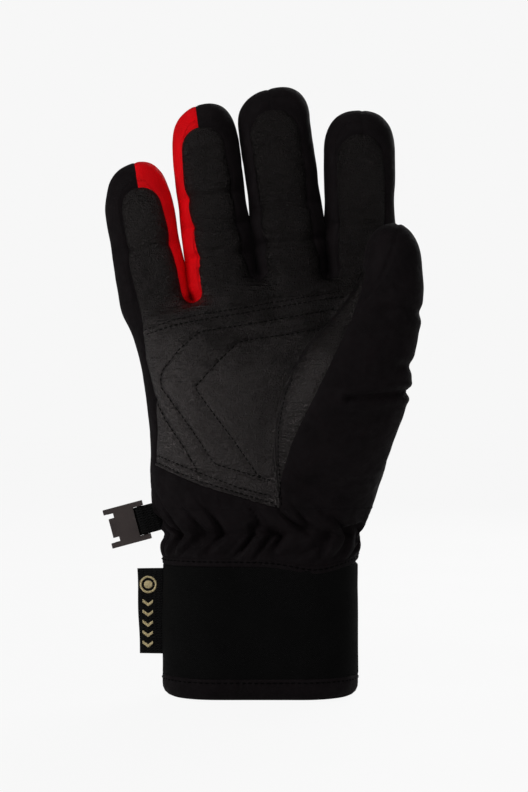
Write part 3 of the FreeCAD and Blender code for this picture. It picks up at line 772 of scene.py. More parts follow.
# ---------------------------------------------------------------- finishes
class Finish:
    """A procedural material, built from short calls; lengths inside it are in metres.

    A piece made here carries its rest place and its cloth's own lines; a CAD node is solid, and
    is painted by its object coordinates.
    """

    def __init__(self, name, color, rough, specular=0.5, sheen=0.0, solid=False):
        self.material = bpy.data.materials.new(name)
        self.material.use_nodes = True
        self.tree = self.material.node_tree
        self.shader = self.tree.nodes["Principled BSDF"]
        self.shader.inputs["Base Color"].default_value = (*color, 1)
        self.shader.inputs["Roughness"].default_value = rough
        self.shader.inputs["Specular IOR Level"].default_value = specular
        self.shader.inputs["Sheen Weight"].default_value = sheen
        self.shader.inputs["Sheen Roughness"].default_value = 0.45
        self.material.diffuse_color = (*color, 1)
        self.rest = self.attribute("rest")
        if solid:
            self.rest = self.node("ShaderNodeTexCoord").outputs["Object"]
        self.height = None

    def node(self, kind, **values):
        node = self.tree.nodes.new(kind)
        for key, value in values.items():
            if key in node.inputs:
                self.link(value, node.inputs[key])
            else:
                setattr(node, key, value)
        return node

    def link(self, value, socket):
        if isinstance(value, bpy.types.NodeSocket):
            self.tree.links.new(value, socket)
        else:
            socket.default_value = value

    def attribute(self, name):
        return self.node("ShaderNodeAttribute", attribute_name=name).outputs["Vector"]

    def math(self, operation, a, b=0.0):
        node = self.node("ShaderNodeMath", operation=operation)
        self.link(a, node.inputs[0])
        self.link(b, node.inputs[1])
        return node.outputs[0]

    def stretched(self, scale, source=None):
        node = self.node("ShaderNodeVectorMath", operation="MULTIPLY")
        self.link(source or self.rest, node.inputs[0])
        node.inputs[1].default_value = scale
        return node.outputs[0]

    def noise(self, scale, detail=3.0, vector=None, rough=0.55):
        return self.node("ShaderNodeTexNoise", Vector=vector or self.rest, Scale=scale,
                         Detail=detail, Roughness=rough).outputs["Fac"]

    def cells(self, scale, feature="F1", vector=None):
        return self.node("ShaderNodeTexVoronoi", Vector=vector or self.rest, Scale=scale,
                         feature=feature).outputs["Distance"]

    def ribs(self, period, axis, source, turn=0.0):
        """A sine ripple along one axis of a coordinate, from -1 to 1."""
        parts = self.node("ShaderNodeSeparateXYZ", Vector=source)
        wave = self.math("MULTIPLY", parts.outputs[axis], 2 * math.pi / period)
        return self.math("SINE", self.math("ADD", wave, turn))

    def ramp(self, value, low, high, to_low=0.0, to_high=1.0):
        node = self.node("ShaderNodeMapRange", Value=value)
        for key, number in (("From Min", low), ("From Max", high), ("To Min", to_low),
                            ("To Max", to_high)):
            node.inputs[key].default_value = number
        return node.outputs["Result"]

    def tint(self, factor, low, high):
        """Mixes two colours by a factor, as the base colour."""
        mix = self.node("ShaderNodeMix", data_type="RGBA")
        self.link(factor, mix.inputs["Factor"])
        mix.inputs[6].default_value = (*low, 1)
        mix.inputs[7].default_value = (*high, 1)
        self.tree.links.new(mix.outputs[2], self.shader.inputs["Base Color"])
        return self

    def rough(self, value, low, high):
        self.link(self.ramp(value, 0.3, 0.7, low, high), self.shader.inputs["Roughness"])
        return self

    def bump(self, value, depth, strength=1.0):
        """Adds a layer of fine relief, depth in metres."""
        node = self.node("ShaderNodeBump", Height=value, Distance=depth, Strength=strength)
        if self.height is not None:
            self.tree.links.new(self.height, node.inputs["Normal"])
        self.height = node.outputs["Normal"]
        self.tree.links.new(self.height, self.shader.inputs["Normal"])
        return self


def leather_finish():
    m = Finish("goat_leather", (0.0040, 0.0036, 0.0035), 0.46, 0.42, 0.0)
    grain = m.cells(1500.0)
    creases = m.noise(230.0, 4.0, m.stretched((0.45, 0.45, 2.4)), 0.65)
    wide = m.noise(60.0, 3.0)
    # painted highlight: the gloss is strongest at the palm's lower outer side and weakest toward the
    # fingertips, following how the light falls there
    place = m.node("ShaderNodeSeparateXYZ", Vector=m.rest)
    height = m.math("ADD", place.outputs[2], m.math("MULTIPLY", m.ramp(wide, 0.3, 0.7, -1.0), 0.02))
    painted_gloss = m.math("MULTIPLY", m.ramp(height, *GLOSS_HEIGHTS, 1.0, 0.36),
                    m.ramp(place.outputs[0], *GLOSS_SIDES, 0.80, 0.50))
    m.link(painted_gloss, m.shader.inputs["Specular IOR Level"])
    m.shader.inputs["Specular Tint"].default_value = (1, 0.90, 0.89, 1)
    m.tint(m.ramp(wide, 0.3, 0.75), (0.0018, 0.0015, 0.0015), (0.0046, 0.0039, 0.0038))
    m.rough(m.noise(120.0, 3.0), 0.28, 0.42)
    return m.bump(wide, 0.0034).bump(creases, 0.0030).bump(grain, 0.0005).material


def shell_finish(name, low, high, sheen):
    """Stretch softshell: a fine plain weave on the cloth's own lines."""
    m = Finish(name, high, 0.72, 0.09, sheen)
    cloth = m.attribute("cloth")
    weave = m.math("MULTIPLY", m.ribs(0.00062, 0, cloth), m.ribs(0.00062, 1, cloth))
    soft = m.noise(90.0, 4.0)
    m.tint(m.ramp(soft, 0.3, 0.7), low, high)
    m.rough(m.noise(300.0, 2.0), 0.62, 0.82)
    return m.bump(soft, 0.0008).bump(m.noise(700.0, 2.0), 0.00012).bump(weave, 0.00005).material


def neoprene_finish():
    """A knit-faced neoprene: small loops in offset columns."""
    m = Finish("cuff_neoprene", (0.0018, 0.0018, 0.0018), 0.88, 0.08, 0.006)
    cloth = m.attribute("cloth")
    columns = m.ribs(0.0011, 0, cloth)
    loops = m.math("MULTIPLY", columns, m.ribs(0.0008, 1, cloth))
    fuzz = m.noise(1400.0, 2.0)
    m.tint(m.ramp(m.noise(60.0, 4.0), 0.3, 0.7), (0.0013, 0.0013, 0.0013), (0.0022, 0.0022, 0.0022))
    m.rough(fuzz, 0.8, 0.95)
    return m.bump(m.noise(55.0, 3.0), 0.0007).bump(loops, 0.00009).bump(fuzz, 0.00008).material


def fleece_finish():
    m = Finish("brushed_fleece", (0.008, 0.008, 0.009), 0.95, 0.1, 0.08)
    tufts = m.noise(520.0, 5.0, None, 0.7)
    m.tint(m.ramp(tufts, 0.3, 0.7), (0.006, 0.006, 0.0065), (0.019, 0.019, 0.020))
    m.rough(m.noise(200.0), 0.88, 1.0)
    return m.bump(m.noise(130.0, 3.0), 0.0012).bump(tufts, 0.0009).material


def webbing_finish(name, low, high):
    m = Finish(name, high, 0.7, 0.12, 0.01)
    cloth = m.attribute("cloth")
    ribs = m.ribs(0.0011, 0, cloth)
    picks = m.math("MULTIPLY", ribs, m.ribs(0.0019, 1, cloth))
    m.tint(m.ramp(picks, -0.9, 0.9), low, high)
    m.rough(m.noise(700.0), 0.6, 0.82)
    return m.bump(ribs, 0.00016).bump(picks, 0.00014).bump(m.noise(1800.0, 2.0), 0.00006).material


def pile_finish():
    """Hook and loop tape: a dense field of short fibres."""
    m = Finish("hook_and_loop", (0.012, 0.012, 0.012), 0.85, 0.2, 0.25)
    pile = m.cells(1500.0)
    m.tint(m.ramp(pile, 0.1, 0.6), (0.017, 0.017, 0.017), (0.005, 0.005, 0.005))
    m.rough(m.noise(900.0), 0.75, 0.95)
    return m.bump(m.noise(160.0, 3.0), 0.0004).bump(pile, 0.0007).material


def plastic_finish():
    m = Finish("clip_acetal", (0.05, 0.04, 0.04), 0.42, 0.4, 0.0, True)
    m.tint(m.ramp(m.noise(110.0, 4.0), 0.3, 0.7), (0.034, 0.025, 0.024), (0.048, 0.036, 0.034))
    m.rough(m.noise(380.0, 4.0, m.stretched((1.0, 1.0, 5.0))), 0.34, 0.52)
    return m.bump(m.noise(900.0, 3.0), 0.00005).bump(m.cells(2600.0), 0.00003).material


def thread_finish(name, low, high, gloss):
    m = Finish(name, high, 0.6, gloss)
    ply = m.noise(2600.0, 2.0)
    m.tint(m.ramp(ply, 0.3, 0.7), low, high)
    m.rough(m.noise(1500.0), 0.4, 0.6)
    return m.bump(ply, 0.0001).material


SLOT_MATERIALS = {
    "palm_leather": leather_finish(),
    "shell_fabric": shell_finish("softshell_black", (0.0026, 0.0014, 0.0019),
                                 (0.0052, 0.0031, 0.0039), 0.013),
    "red_fabric": shell_finish("softshell_red", (0.62, 0.0002, 0.0030),
                               (0.80, 0.0003, 0.0045), 0.0),
    "cuff_neoprene": neoprene_finish(),
    "lining_fleece": fleece_finish(),
    "insulation": fleece_finish(),
    "webbing": webbing_finish("nylon_webbing", (0.0008, 0.0008, 0.0008), (0.0024, 0.0024, 0.0025)),
    "label": webbing_finish("woven_label", (0.0016, 0.0016, 0.0018), (0.0036, 0.0036, 0.0038)),
    "hook_loop": pile_finish(),
    "clip_plastic": plastic_finish(),
}
BLACK_THREAD = thread_finish("polyester_thread", (0.0004, 0.0004, 0.0004), (0.0010, 0.0010, 0.0010),
                             0.03)
GOLD_THREAD = thread_finish("gold_thread", (0.48, 0.38, 0.19), (0.80, 0.68, 0.40), 0.4)


# ---------------------------------------------------------------- the outside of the hand
def cloth_lines(p, only=None):
    """The cloth's own flat coordinates at each point of the outside, in mm."""
    x, y, z = p.T
    w, u, near = along_finger(p, only)
    owner = near if only is not None else owners(p)
    across = np.where(np.abs(y) < 11, y + 0.3 * x, u + 0.3 * y)
    cx, cy = (np.interp(z, THUMB_Z, THUMB_VALUES[:, i]) for i in range(2))
    turn = np.arctan2(cx - x, cy - y) * 17.0
    along = np.where(owner < 4, w, z)
    across = np.where(owner == 5, turn, across)
    across = np.where(owner == 6, np.arctan2(y, x * 0.55) * 30.0, across)
    return np.stack([across, along, np.zeros_like(x)], 1)


RED_PIECES = ("crotch_red", "ring_base_gusset", "ring_tip_gusset", "little_base_gusset",
              "little_tip_gusset")
PIECE_SLOTS = {"_face": "palm_leather", "_upper_leather": "palm_leather", "_patch": "palm_leather",
               "_binding": "palm_leather", "_leather": "palm_leather"}


def outside():
    """Builds every outside piece; gives back the hand's shaped surface, for the stitching."""
    whole = [(None, *hand_surface())] + [(i, *finger_surface(i)) for i in range(len(FINGERS))]
    names = [label(p, t, only) for only, p, t in whole]
    seams = np.vstack([seam_points(p, t, panels(p[t].mean(1), n, only))
                       for (only, p, t), n in zip(whole, names, strict=True)])
    shaped = []
    for (only, points, triangles), name_of in zip(whole, names, strict=True):
        seam = nearest(points, seams)
        cloth = cloth_lines(points, only)
        normals = vertex_normals(points, triangles)
        points = points + normals * folds(points, seam, only)[:, None]
        normals = vertex_normals(points, triangles)
        shaped.append((points, triangles, name_of))
        for name in np.unique(name_of[name_of != ""]):
            name = str(name)
            obj = part_of(points, triangles, normals, cloth, name_of == name, name)
            slot = next((s for end, s in PIECE_SLOTS.items() if name.endswith(end)), "shell_fabric")
            if name in RED_PIECES:
                slot = "red_fabric"
            node = name.replace("_outer_gusset", "_gusset")
            place(obj, name, slot, None if name.startswith("crotch") else node, 0.6)
    return shaped[0]


def lining():
    """The fleece-faced inside, a fingers-and-all bag the thickness of the padding further in."""
    points, triangles = surface(lambda x, y, z: glove_distance(x, y, z) + LINING_DEPTH,
                                (-68, -56, 61), (76, 24, 270), 2.2)
    points = settle(lambda x, y, z: glove_distance(x, y, z) + LINING_DEPTH, points)

    def thumb_level_line(p):
        return np.where(p[:, 2] < 90, 10.0, thumb_distance(*p.T) - hand_distance(*p.T))

    def not_thumb(p, value):
        return np.where(thumb_level_line(p) < 0, -10.0, value)

    for level in (thumb_level_line,
                  lambda p: not_thumb(p, along_finger(p)[0]),
                  lambda p: not_thumb(p, along_finger(p)[0]
                                      - np.choose(along_finger(p)[2], [f.split for f in FINGERS])),
                  lambda p: np.where(thumb_level_line(p) < 1, p @ THUMB_LEAN - THUMB_LOW, -10),
                  lambda p: np.where(thumb_level_line(p) < 1, p @ THUMB_LEAN - THUMB_SPLIT, -10)):
        points, triangles = cut(points, triangles, level(points))
    c = points[triangles].mean(1)
    w, _, near = along_finger(c)
    lean = c @ THUMB_LEAN
    names = np.full(len(c), "hand_lining", dtype="U24")
    for i, f in enumerate(FINGERS):
        names[(near == i) & (w > 0)] = f"{f.name}_base_liner"
        names[(near == i) & (w > f.split)] = f"{f.name}_tip_liner"
    thumb = thumb_level_line(c) < 0
    names[thumb] = "thumb_root_liner"
    names[thumb & (lean > THUMB_LOW)] = "thumb_base_liner"
    names[thumb & (lean > THUMB_SPLIT)] = "thumb_tip_liner"
    normals = vertex_normals(points, triangles)
    points = points + normals * (0.5 * noise(points, 11.0, 21))[:, None]
    cloth = cloth_lines(points)
    for name in np.unique(names):
        obj = part_of(points, triangles, normals, cloth, names == name, str(name))
        nodes = ["hand_lining", "hand_insulation"] if name == "hand_lining" else str(name)
        place(obj, str(name), "lining_fleece", nodes, 0.5)


# ---------------------------------------------------------------- stitches
def thread_mesh(name, centres, body, material, radius=0.24):
    """Short rounded threads, one for each row of four centreline points."""
    ring = 6
    points, faces = [], []
    angles = np.arange(ring) * 2 * math.pi / ring
    for line in centres:
        line = np.asarray(line)
        along = line[-1] - line[0]
        along /= np.linalg.norm(along)
        side = np.cross(along, line[1] - line[0] + 1e-6)
        side /= np.linalg.norm(side)
        up = np.cross(side, along)
        start = len(points)
        for q in line:
            for a in angles:
                points.append(q + radius * (math.cos(a) * side + math.sin(a) * up))
        for k in range(len(line) - 1):
            for i in range(ring):
                j = (i + 1) % ring
                low = start + k * ring
                faces.append((low + i, low + j, low + ring + j, low + ring + i))
    obj = mesh_object(name, np.array(points), faces, None, np.array(points))
    obj.data.materials.append(material)
    if body:
        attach(obj, body)
    return obj


def stitch_row(path, normals, pitch=2.3, length=1.85, lift=0.1, dive=0.4):
    """Four centreline points for each stitch along a path of points in mm."""
    path, normals = np.asarray(path), np.asarray(normals)
    run = np.concatenate([[0], np.cumsum(np.linalg.norm(np.diff(path, axis=0), axis=1))])
    rows = []
    for s in np.arange(pitch / 2, run[-1] - length, pitch):
        at = np.array([s, s + 0.22 * length, s + 0.78 * length, s + length])
        p = np.stack([np.interp(at, run, path[:, k]) for k in range(3)], 1)
        n = np.stack([np.interp(at, run, normals[:, k]) for k in range(3)], 1)
        rows.append(p + n * np.array([-dive, lift, lift, -dive])[:, None])
    return rows


def press_line(tree, line, step=0.7):
    """A front-view line laid onto the palm: points and outward normals, in mm."""
    points, normals = [], []
    for (x0, z0), (x1, z1) in zip(line, line[1:], strict=False):
        steps = max(2, int(math.hypot(x1 - x0, z1 - z0) / step))
        for t in np.arange(steps) / steps:
            hit = tree.ray_cast((x0 + t * (x1 - x0), -90, z0 + t * (z1 - z0)), (0, 1, 0))
            if hit[0] is not None:
                points.append(np.array(hit[0]))
                normals.append(np.array(hit[1]))
    return points, normals


def beside(line, gap):
    """The same line moved sideways by a gap, up being positive."""
    return [(x, z + gap) for x, z in line]


def piping(tree, name, line, lift):
    """A thin leather cord along a seam, from a front-view line laid onto the palm."""
    path, normals = press_line(tree, line)
    path, normals = np.array(path), np.array(normals)
    window = np.ones(7) / 7
    for k in range(3):
        path[3:-3, k] = np.convolve(path[:, k], window, "valid")
    along = np.gradient(path, axis=0)
    along /= np.linalg.norm(along, axis=1)[:, None]
    side = np.cross(along, normals)
    side /= np.linalg.norm(side, axis=1)[:, None]
    turn = np.arange(9) / 8 * 2 * math.pi
    middle = (path + normals * lift)[:, None]
    ring = PIPE * (np.cos(turn)[None, :, None] * side[:, None]
                   + np.sin(turn)[None, :, None] * normals[:, None])
    points = (middle + ring)[:, :8]
    n = len(points)
    i, j = np.meshgrid(np.arange(n - 1), np.arange(8), indexing="ij")
    k = (j + 1) % 8
    faces = np.stack([i * 8 + j, i * 8 + k, (i + 1) * 8 + k, (i + 1) * 8 + j], -1).reshape(-1, 4)
    points = points.reshape(-1, 3)
    obj = mesh_object(name, points, faces, None, points)
    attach(obj, "hand")
    obj.data.materials.append(SLOT_MATERIALS["palm_leather"])


def palm_stitches(points, triangles, names):
    whole = BVHTree.FromPolygons(points.tolist(), triangles[names != ""].tolist())
    piping(whole, "heel_piping", [p for p in BINDING_LOW if -46 < p[0] < 10], 0.25)
    piping(whole, "thumb_piping", [p for p in THUMB_SEAM if 84 <= p[1] < 145], 0.2)
    hand = np.isin(names, ("palm_patch", "palm_upper_leather", "palm_patch_binding", "heel_panel"))
    tree = BVHTree.FromPolygons(points.tolist(), triangles[hand].tolist())
    rows = []
    inside = [p for p in PALM_SEAM if -62 < p[0] < 42]
    for line in (beside(inside, -0.9), beside(inside, -3.2), beside(BINDING_TOP, 0.5),
                 beside(BINDING_LOW, 1.2), QUILT_OUTER, QUILT_INNER, QUILT_LOWER):
        path, normals = press_line(tree, line)
        if len(path) > 2:
            rows += stitch_row(path, normals)
    thread_mesh("palm_stitching", rows, "hand", BLACK_THREAD)
    path, normals = press_line(whole, [(x + 1.3, z) for x, z in THUMB_SEAM if 84 <= z < 145])
    thread_mesh("thumb_seam_stitching", stitch_row(path, normals), "hand", BLACK_THREAD)


# ---------------------------------------------------------------- the cuff
def ring_line(width, depth, count=240):
    """Points and outward directions evenly round a stadium, starting at the right."""
    r, straight = depth / 2, width - depth
    total = 2 * straight + math.pi * depth
    out = []
    for s in np.arange(count) / count * total:
        t = s
        if t < math.pi * r / 2:
            a = t / r
            out.append((straight / 2 + r * math.cos(a), r * math.sin(a), math.cos(a), math.sin(a)))
            continue
        t -= math.pi * r / 2
        if t < straight:
            out.append((straight / 2 - t, r, 0, 1))
            continue
        t -= straight
        if t < math.pi * r:
            a = math.pi / 2 + t / r
            out.append((-straight / 2 + r * math.cos(a), r * math.sin(a), math.cos(a), math.sin(a)))
            continue
        t -= math.pi * r
        if t < straight:
            out.append((-straight / 2 + t, -r, 0, -1))
            continue
        a = -math.pi / 2 + (t - straight) / r
        out.append((straight / 2 + r * math.cos(a), r * math.sin(a), math.cos(a), math.sin(a)))
    out = np.array(out)
    return out[:, :2] + [CUFF_SET, 0], out[:, 2:], total


def band(name, width, depth, profile, slot, body, node, wobble=0.25, wave=None, seed=1):
    """A closed profile of (outward, height) points swept round the wrist."""
    base, out, total = ring_line(width, depth)
    profile = np.array(profile, float)
    n, m = len(base), len(profile)
    angle = np.arange(n) / n
    p = np.zeros((n, m, 3))
    p[:, :, :2] = base[:, None] + out[:, None] * profile[None, :, :1]
    p[:, :, 2] = profile[None, :, 1] + (wave(angle)[:, None] if wave else 0.0)
    flat = p.reshape(-1, 3)
    swell = wobble * noise(flat, 17.0, seed) + 0.4 * wobble * noise(flat, 7.0, seed + 1)
    flat = flat + np.repeat(np.column_stack([out, np.zeros(n)]), m, 0) * swell[:, None]
    cloth = np.column_stack([np.repeat(angle * total, m), flat[:, 2], np.zeros(n * m)])
    i, j = np.meshgrid(np.arange(n), np.arange(m), indexing="ij")
    i2, j2 = (i + 1) % n, (j + 1) % m
    faces = np.stack([i * m + j, i2 * m + j, i2 * m + j2, i * m + j2], -1).reshape(-1, 4)
    obj = mesh_object(name, flat, faces, None, cloth)
    if body == "sleeve":
        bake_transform(obj, "cuff", "hand", (0, 0, 62 * MM), (0, 0, HAND_BOTTOM * MM))
    else:
        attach(obj, body)
    obj.data.materials.append(SLOT_MATERIALS[slot])
    if node:
        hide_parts(node)
    return obj


def wall(outer, inner, low, high, steps, round_top=1.2, round_low=1.2):
    """A band's closed profile: up the outside, over the rounded top, and down the inside."""
    z = np.linspace(low + round_low, high - round_top, steps)
    up = [(outer, v) for v in z]
    half = (outer - inner) / 2
    middle = (outer + inner) / 2
    over = [(middle + half * math.cos(a), high - round_top + round_top * math.sin(a))
            for a in np.linspace(0.35, math.pi - 0.35, 5)]
    down = [(inner, v) for v in z[::-1]]
    under = [(middle - half * math.cos(a), low + round_low - round_low * math.sin(a))
             for a in np.linspace(0.35, math.pi - 0.35, 5)]
    return up + over + down + under


def ring_stitches(width, depth, height, offset, wave=None, pitch=2.7):
    base, out, _ = ring_line(width, depth, 480)
    p = base + out * offset
    z = height + (wave(np.arange(480) / 480) if wave else np.zeros(480))
    path = np.column_stack([p, z])
    normals = np.column_stack([out, np.zeros(480)])
    return stitch_row(np.vstack([path, path[:1]]), np.vstack([normals, normals[:1]]), pitch)


def dip(angle):
    """The cuff's top edge dips under the thumb and rises at the glove's side."""
    side = np.minimum(angle, 1 - angle)
    return (-3.0 * dent(angle - 0.853, 0.055) + 2.6 * dent(side, 0.05)
            + 0.25 * np.sin(angle * 4 * math.pi))


def cuff():
    band("cuff_band", CUFF_WIDTH, CUFF_DEPTH, wall(0.0, -3.0, 8.9, 59.0, 34), "cuff_neoprene",
         "cuff", "cuff_band", 0.28, None, 31)
    band("cuff_top_tape", CUFF_WIDTH, CUFF_DEPTH, wall(0.15, -2.6, 58.2, 62.2, 5, 1.0, 0.8),
         "shell_fabric", "cuff", "cuff_top_tape", 0.2, dip, 33)
    hem = [(0.0, 9.4), (0.0, 7.6), (0.0, 5.6), (-0.2, 3.8), (-1.0, 2.0), (-2.4, 0.7), (-3.8, 0.1),
           (-5.0, 0.3), (-5.5, 1.6), (-5.5, 4.0), (-5.5, 7.0), (-5.3, 9.2), (-4.0, 10.0),
           (-2.0, 10.2), (-0.6, 10.1)]
    band("cuff_hem_binding", CUFF_WIDTH, CUFF_DEPTH, hem[::-1], "shell_fabric", "cuff",
         "cuff_hem_binding", 0.2, None, 35)
    band("cuff_lining", CUFF_WIDTH, CUFF_DEPTH, wall(-5.4, -6.4, 3.0, 62.0, 26, 0.4, 0.4),
         "lining_fleece", "cuff",
         "cuff_lining", 0.5, None, 37)
    band("wrist_elastic", 82, 45, wall(-1.6, -3.2, 62.0, 66.0, 4, 0.5, 0.5), "webbing", "cuff",
         "wrist_elastic", 0.2, None, 39)
    rows = ring_stitches(CUFF_WIDTH, CUFF_DEPTH, 8.0, 0.1)
    thread_mesh("hem_stitching", rows, "cuff", BLACK_THREAD)
    rows = ring_stitches(CUFF_WIDTH, CUFF_DEPTH, 60.6, 0.25, dip)
    thread_mesh("cuff_top_stitching", rows, "cuff", BLACK_THREAD)


# ---------------------------------------------------------------- label, webbing and closure
def slab(name, middle, out, thickness, slot, body, node):
    """A closed flat piece from a grid of middle points and outward directions, thin at its rim."""
    n, m = middle.shape[:2]
    rim = np.full((n, m), 0.5)
    rim[0], rim[-1], rim[:, 0], rim[:, -1] = 0.22, 0.22, 0.22, 0.22
    half = (out * rim[:, :, None] * thickness)
    points = np.vstack([(middle + half).reshape(-1, 3), (middle - half).reshape(-1, 3)])
    i, j = np.meshgrid(np.arange(n - 1), np.arange(m - 1), indexing="ij")
    front = np.stack([i * m + j, (i + 1) * m + j, (i + 1) * m + j + 1, i * m + j + 1],
                     -1).reshape(-1, 4)
    back = front[:, ::-1] + n * m
    edge = np.concatenate([np.arange(m), np.arange(1, n) * m + m - 1,
                           (n - 1) * m + np.arange(m - 2, -1, -1), np.arange(n - 2, 0, -1) * m])
    turn = np.roll(edge, -1)
    sides = np.stack([edge, turn, turn + n * m, edge + n * m], -1)
    run = np.linalg.norm(np.diff(middle, axis=0), axis=2).mean(1)
    along = np.repeat(np.concatenate([[0], np.cumsum(run)]), m)
    across = np.tile(np.linalg.norm(middle[0] - middle[0, 0], axis=1), n)
    cloth = np.tile(np.column_stack([across, along, 0 * along]), (2, 1))
    obj = mesh_object(name, points, np.vstack([front, back, sides]), None, cloth)
    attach(obj, body)
    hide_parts(node)
    obj.data.materials.append(SLOT_MATERIALS[slot])
    return obj


def label_y(x, z):
    """How far the woven label stands from its own middle plane."""
    return 0.35 * np.sin(z / 7.5 + 0.6) * smooth_step((-43.0 - x) / 8.0) - 0.3


def label_tab():
    low, high = node_box("side_label_tab")
    u, v = np.meshgrid(np.linspace(0, 1, 18), np.linspace(0, 1, 60), indexing="ij")
    z = LABEL_FOOT + (LABEL_HEAD - LABEL_FOOT) * v
    left = low[0] + 1.0 - 1.2 * v + 0.15 * np.sin(v * 9.0)
    x = left + (high[0] + 0.8 - left) * u
    z = z + 0.35 * (u - 0.5) * (v - 0.5)
    middle = np.stack([x, label_y(x, z), z], -1)
    out = np.zeros_like(middle)
    out[:, :, 1] = -1.0
    obj = slab("side_label_tab", middle, out, 0.8, "label", "cuff", "side_label_tab")

    def satin(x0, z0, x1, z1):
        t = np.array([0.0, 0.2, 0.8, 1.0])
        x, z = x0 + (x1 - x0) * t, z0 + (z1 - z0) * t
        y = label_y(x, z) - 0.4 - np.array([-0.25, 0.14, 0.14, -0.25])
        return np.column_stack([x, y, z])

    threads = []
    cx, cz = MARK_CENTRE
    for a in np.arange(46) / 46 * 2 * math.pi:
        c, s = math.cos(a), math.sin(a)
        threads.append(satin(cx + 2.9 * c, cz + 2.9 * s, cx + 3.9 * c, cz + 3.9 * s))
    for dx in np.arange(-1.6, 1.61, 0.4):
        half = math.sqrt(max(1.9**2 - dx * dx, 0.04))
        threads.append(satin(cx + dx, cz - half, cx + dx, cz + half))
    for k in range(5):
        for dx in np.arange(-2.3, 2.31, 0.42):
            z0 = cz - 8.3 - 4.6 * k + 0.75 * abs(dx)
            threads.append(satin(cx + dx, z0, cx + dx, z0 - 1.5))
    thread_mesh("label_mark", threads, "cuff", GOLD_THREAD, 0.24)


def webbing():
    """The woven loop that leaves the wrist's seam, turns round the clip's bar and comes back."""
    root, bar = (np.array(joints[n]["pos_m"]) / MM for n in ("strap_swing", "clip_swivel"))
    away = (bar - root) / np.linalg.norm(bar - root)
    wide = np.array([away[2], 0.0, -away[0]])
    back = np.array([0.0, 1.0, 0.0])
    reach = np.linalg.norm(bar - root)
    turns = np.linspace(-math.pi / 2, math.pi / 2, 13)
    path = [(-4.2, -0.75), (-1.5, -0.8), (reach * 0.4, -0.95), (reach * 0.75, -1.35)]
    path += [(reach + 2.7 * math.cos(a), 1.7 * math.sin(a)) for a in turns]
    path += [(reach * 0.75, 1.35), (reach * 0.4, 0.95), (-1.5, 0.8), (-4.2, 0.75)]
    path = np.array(path)
    slope = np.gradient(path, axis=0)
    slope /= np.linalg.norm(slope, axis=1)[:, None]
    v = np.linspace(-STRAP_WIDTH / 2, STRAP_WIDTH / 2, 20)
    centre = root + path[:, :1] * away + path[:, 1:] * back
    out = slope[:, 1:] * away - slope[:, :1] * back
    middle = centre[:, None] + v[None, :, None] * wide
    obj = slab("clip_webbing", middle, np.repeat(out[:, None], len(v), 1), 1.1, "webbing", "strap",
               "clip_webbing")


def closure():
    """The flap that closes the cuff at the back, and its hook and loop patches."""
    for name, slot, body in (("closure_flap", "cuff_neoprene", "flap"),
                             ("closure_hook_patch", "hook_loop", "flap"),
                             ("closure_loop_patch", "hook_loop", "cuff")):
        low, high = node_box(name)
        corner = 6.0 if name == "closure_flap" else 1.5
        u, v = np.meshgrid(np.linspace(0, 1, 60), np.linspace(-1, 1, 44), indexing="ij")
        x = low[0] + (high[0] - low[0]) * u
        inset = corner - np.sqrt(np.maximum(corner**2 - np.maximum(
            x - high[0] + corner, 0.0) ** 2, 0.0))
        z = (low[2] + high[2]) / 2 + v * ((high[2] - low[2]) / 2 - inset)
        y = np.full_like(x, (low[1] + high[1]) / 2)
        p = np.stack([x, y, z], -1)
        if name == "closure_flap":
            p[:, :, 1] += 0.18 * noise(p.reshape(-1, 3), 9.0, 71).reshape(x.shape)
        out = np.zeros_like(p)
        out[:, :, 1] = 1.0
        obj = slab(name, p, out, high[1] - low[1], slot, body, name)
        if name == "closure_flap":
            ring = [(low[0] + 2.6, low[2] + 2.6), (high[0] - 7.5, low[2] + 2.6),
                    (high[0] - 3.6, low[2] + 4.2), (high[0] - 2.6, low[2] + 8.0),
                    (high[0] - 2.6, high[2] - 8.0), (high[0] - 3.6, high[2] - 4.2),
                    (high[0] - 7.5, high[2] - 2.6), (low[0] + 2.6, high[2] - 2.6)]
            path = np.array([(a, high[1] + 0.05, b) for a, b in ring])
            rows = stitch_row(path, np.tile([0.0, 1.0, 0.0], (len(path), 1)))
            thread_mesh("flap_stitching", rows, "flap", BLACK_THREAD)


palm_stitches(*outside())
lining()
cuff()
label_tab()
webbing()
closure()

for name, node in frame["nodes"].items():
    if not node.hide_render:
        node.data.materials.clear()
        node.data.materials.append(SLOT_MATERIALS["clip_plastic"])

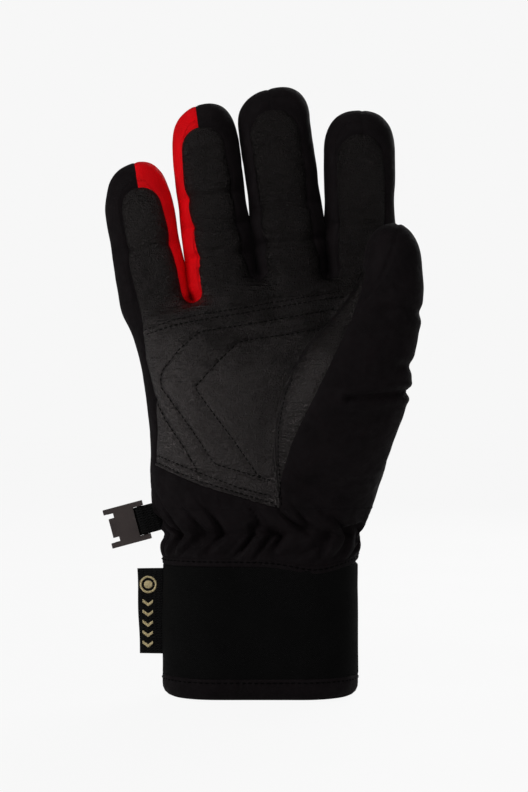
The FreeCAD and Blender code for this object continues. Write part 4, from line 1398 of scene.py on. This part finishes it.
# ---------------------------------------------------------------- floor, light and camera
def lit(tree, seen, unseen):
    """A strength that is one number to the camera and another to the light that bounces."""
    path = tree.nodes.new("ShaderNodeLightPath")
    mix = tree.nodes.new("ShaderNodeMapRange")
    mix.inputs["To Min"].default_value, mix.inputs["To Max"].default_value = unseen, seen
    tree.links.new(path.outputs["Is Camera Ray"], mix.inputs["Value"])
    return mix.outputs["Result"]


def stage():
    bpy.ops.mesh.primitive_plane_add(size=12, location=(0, 0, -0.0004))
    floor = bpy.context.object
    floor.name = "studio_floor"
    m = Finish("studio_paper", (0.9, 0.9, 0.9), 0.9, 0.1)
    m.rest = m.node("ShaderNodeTexCoord").outputs["Object"]
    m.link(lit(m.tree, 0.02, 0.8), m.shader.inputs["Base Color"])
    m.rough(m.noise(6.0, 2.0), 0.85, 0.95)
    m.bump(m.noise(900.0, 2.0), 0.00003)
    m.shader.inputs["Emission Color"].default_value = (1, 1, 1, 1)
    m.link(lit(m.tree, FLOOR_GLOW, 0.04), m.shader.inputs["Emission Strength"])
    floor.data.materials.append(m.material)
    world = bpy.data.worlds.new("studio")
    bpy.context.scene.world = world
    world.use_nodes = True
    background = world.node_tree.nodes["Background"]
    background.inputs["Color"].default_value = (0.93, 0.93, 0.93, 1)
    world.node_tree.links.new(lit(world.node_tree, 1.0, WORLD_LIGHT), background.inputs["Strength"])
    for name, spot, size, power in LAMPS:
        light = bpy.data.lights.new(name, "AREA")
        light.size, light.energy = size, power
        lamp = bpy.data.objects.new(name, light)
        bpy.context.scene.collection.objects.link(lamp)
        lamp.location = spot
        lamp.rotation_euler = (Vector((0, 0, 0.14)) - Vector(spot)).to_track_quat("-Z", "Y").to_euler()
    camera_data = bpy.data.cameras.new("camera")
    camera_data.lens, camera_data.sensor_width = 101.67, 36
    camera = bpy.data.objects.new("camera", camera_data)
    bpy.context.scene.collection.objects.link(camera)
    camera.location = (0.0022, -1.0, 0.1332)
    camera.rotation_euler = (math.pi / 2, 0, 0)
    camera_data.clip_start, camera_data.clip_end = 0.05, 30
    bpy.context.scene.camera = camera
    bpy.context.scene.view_settings.view_transform = "Standard"


stage()
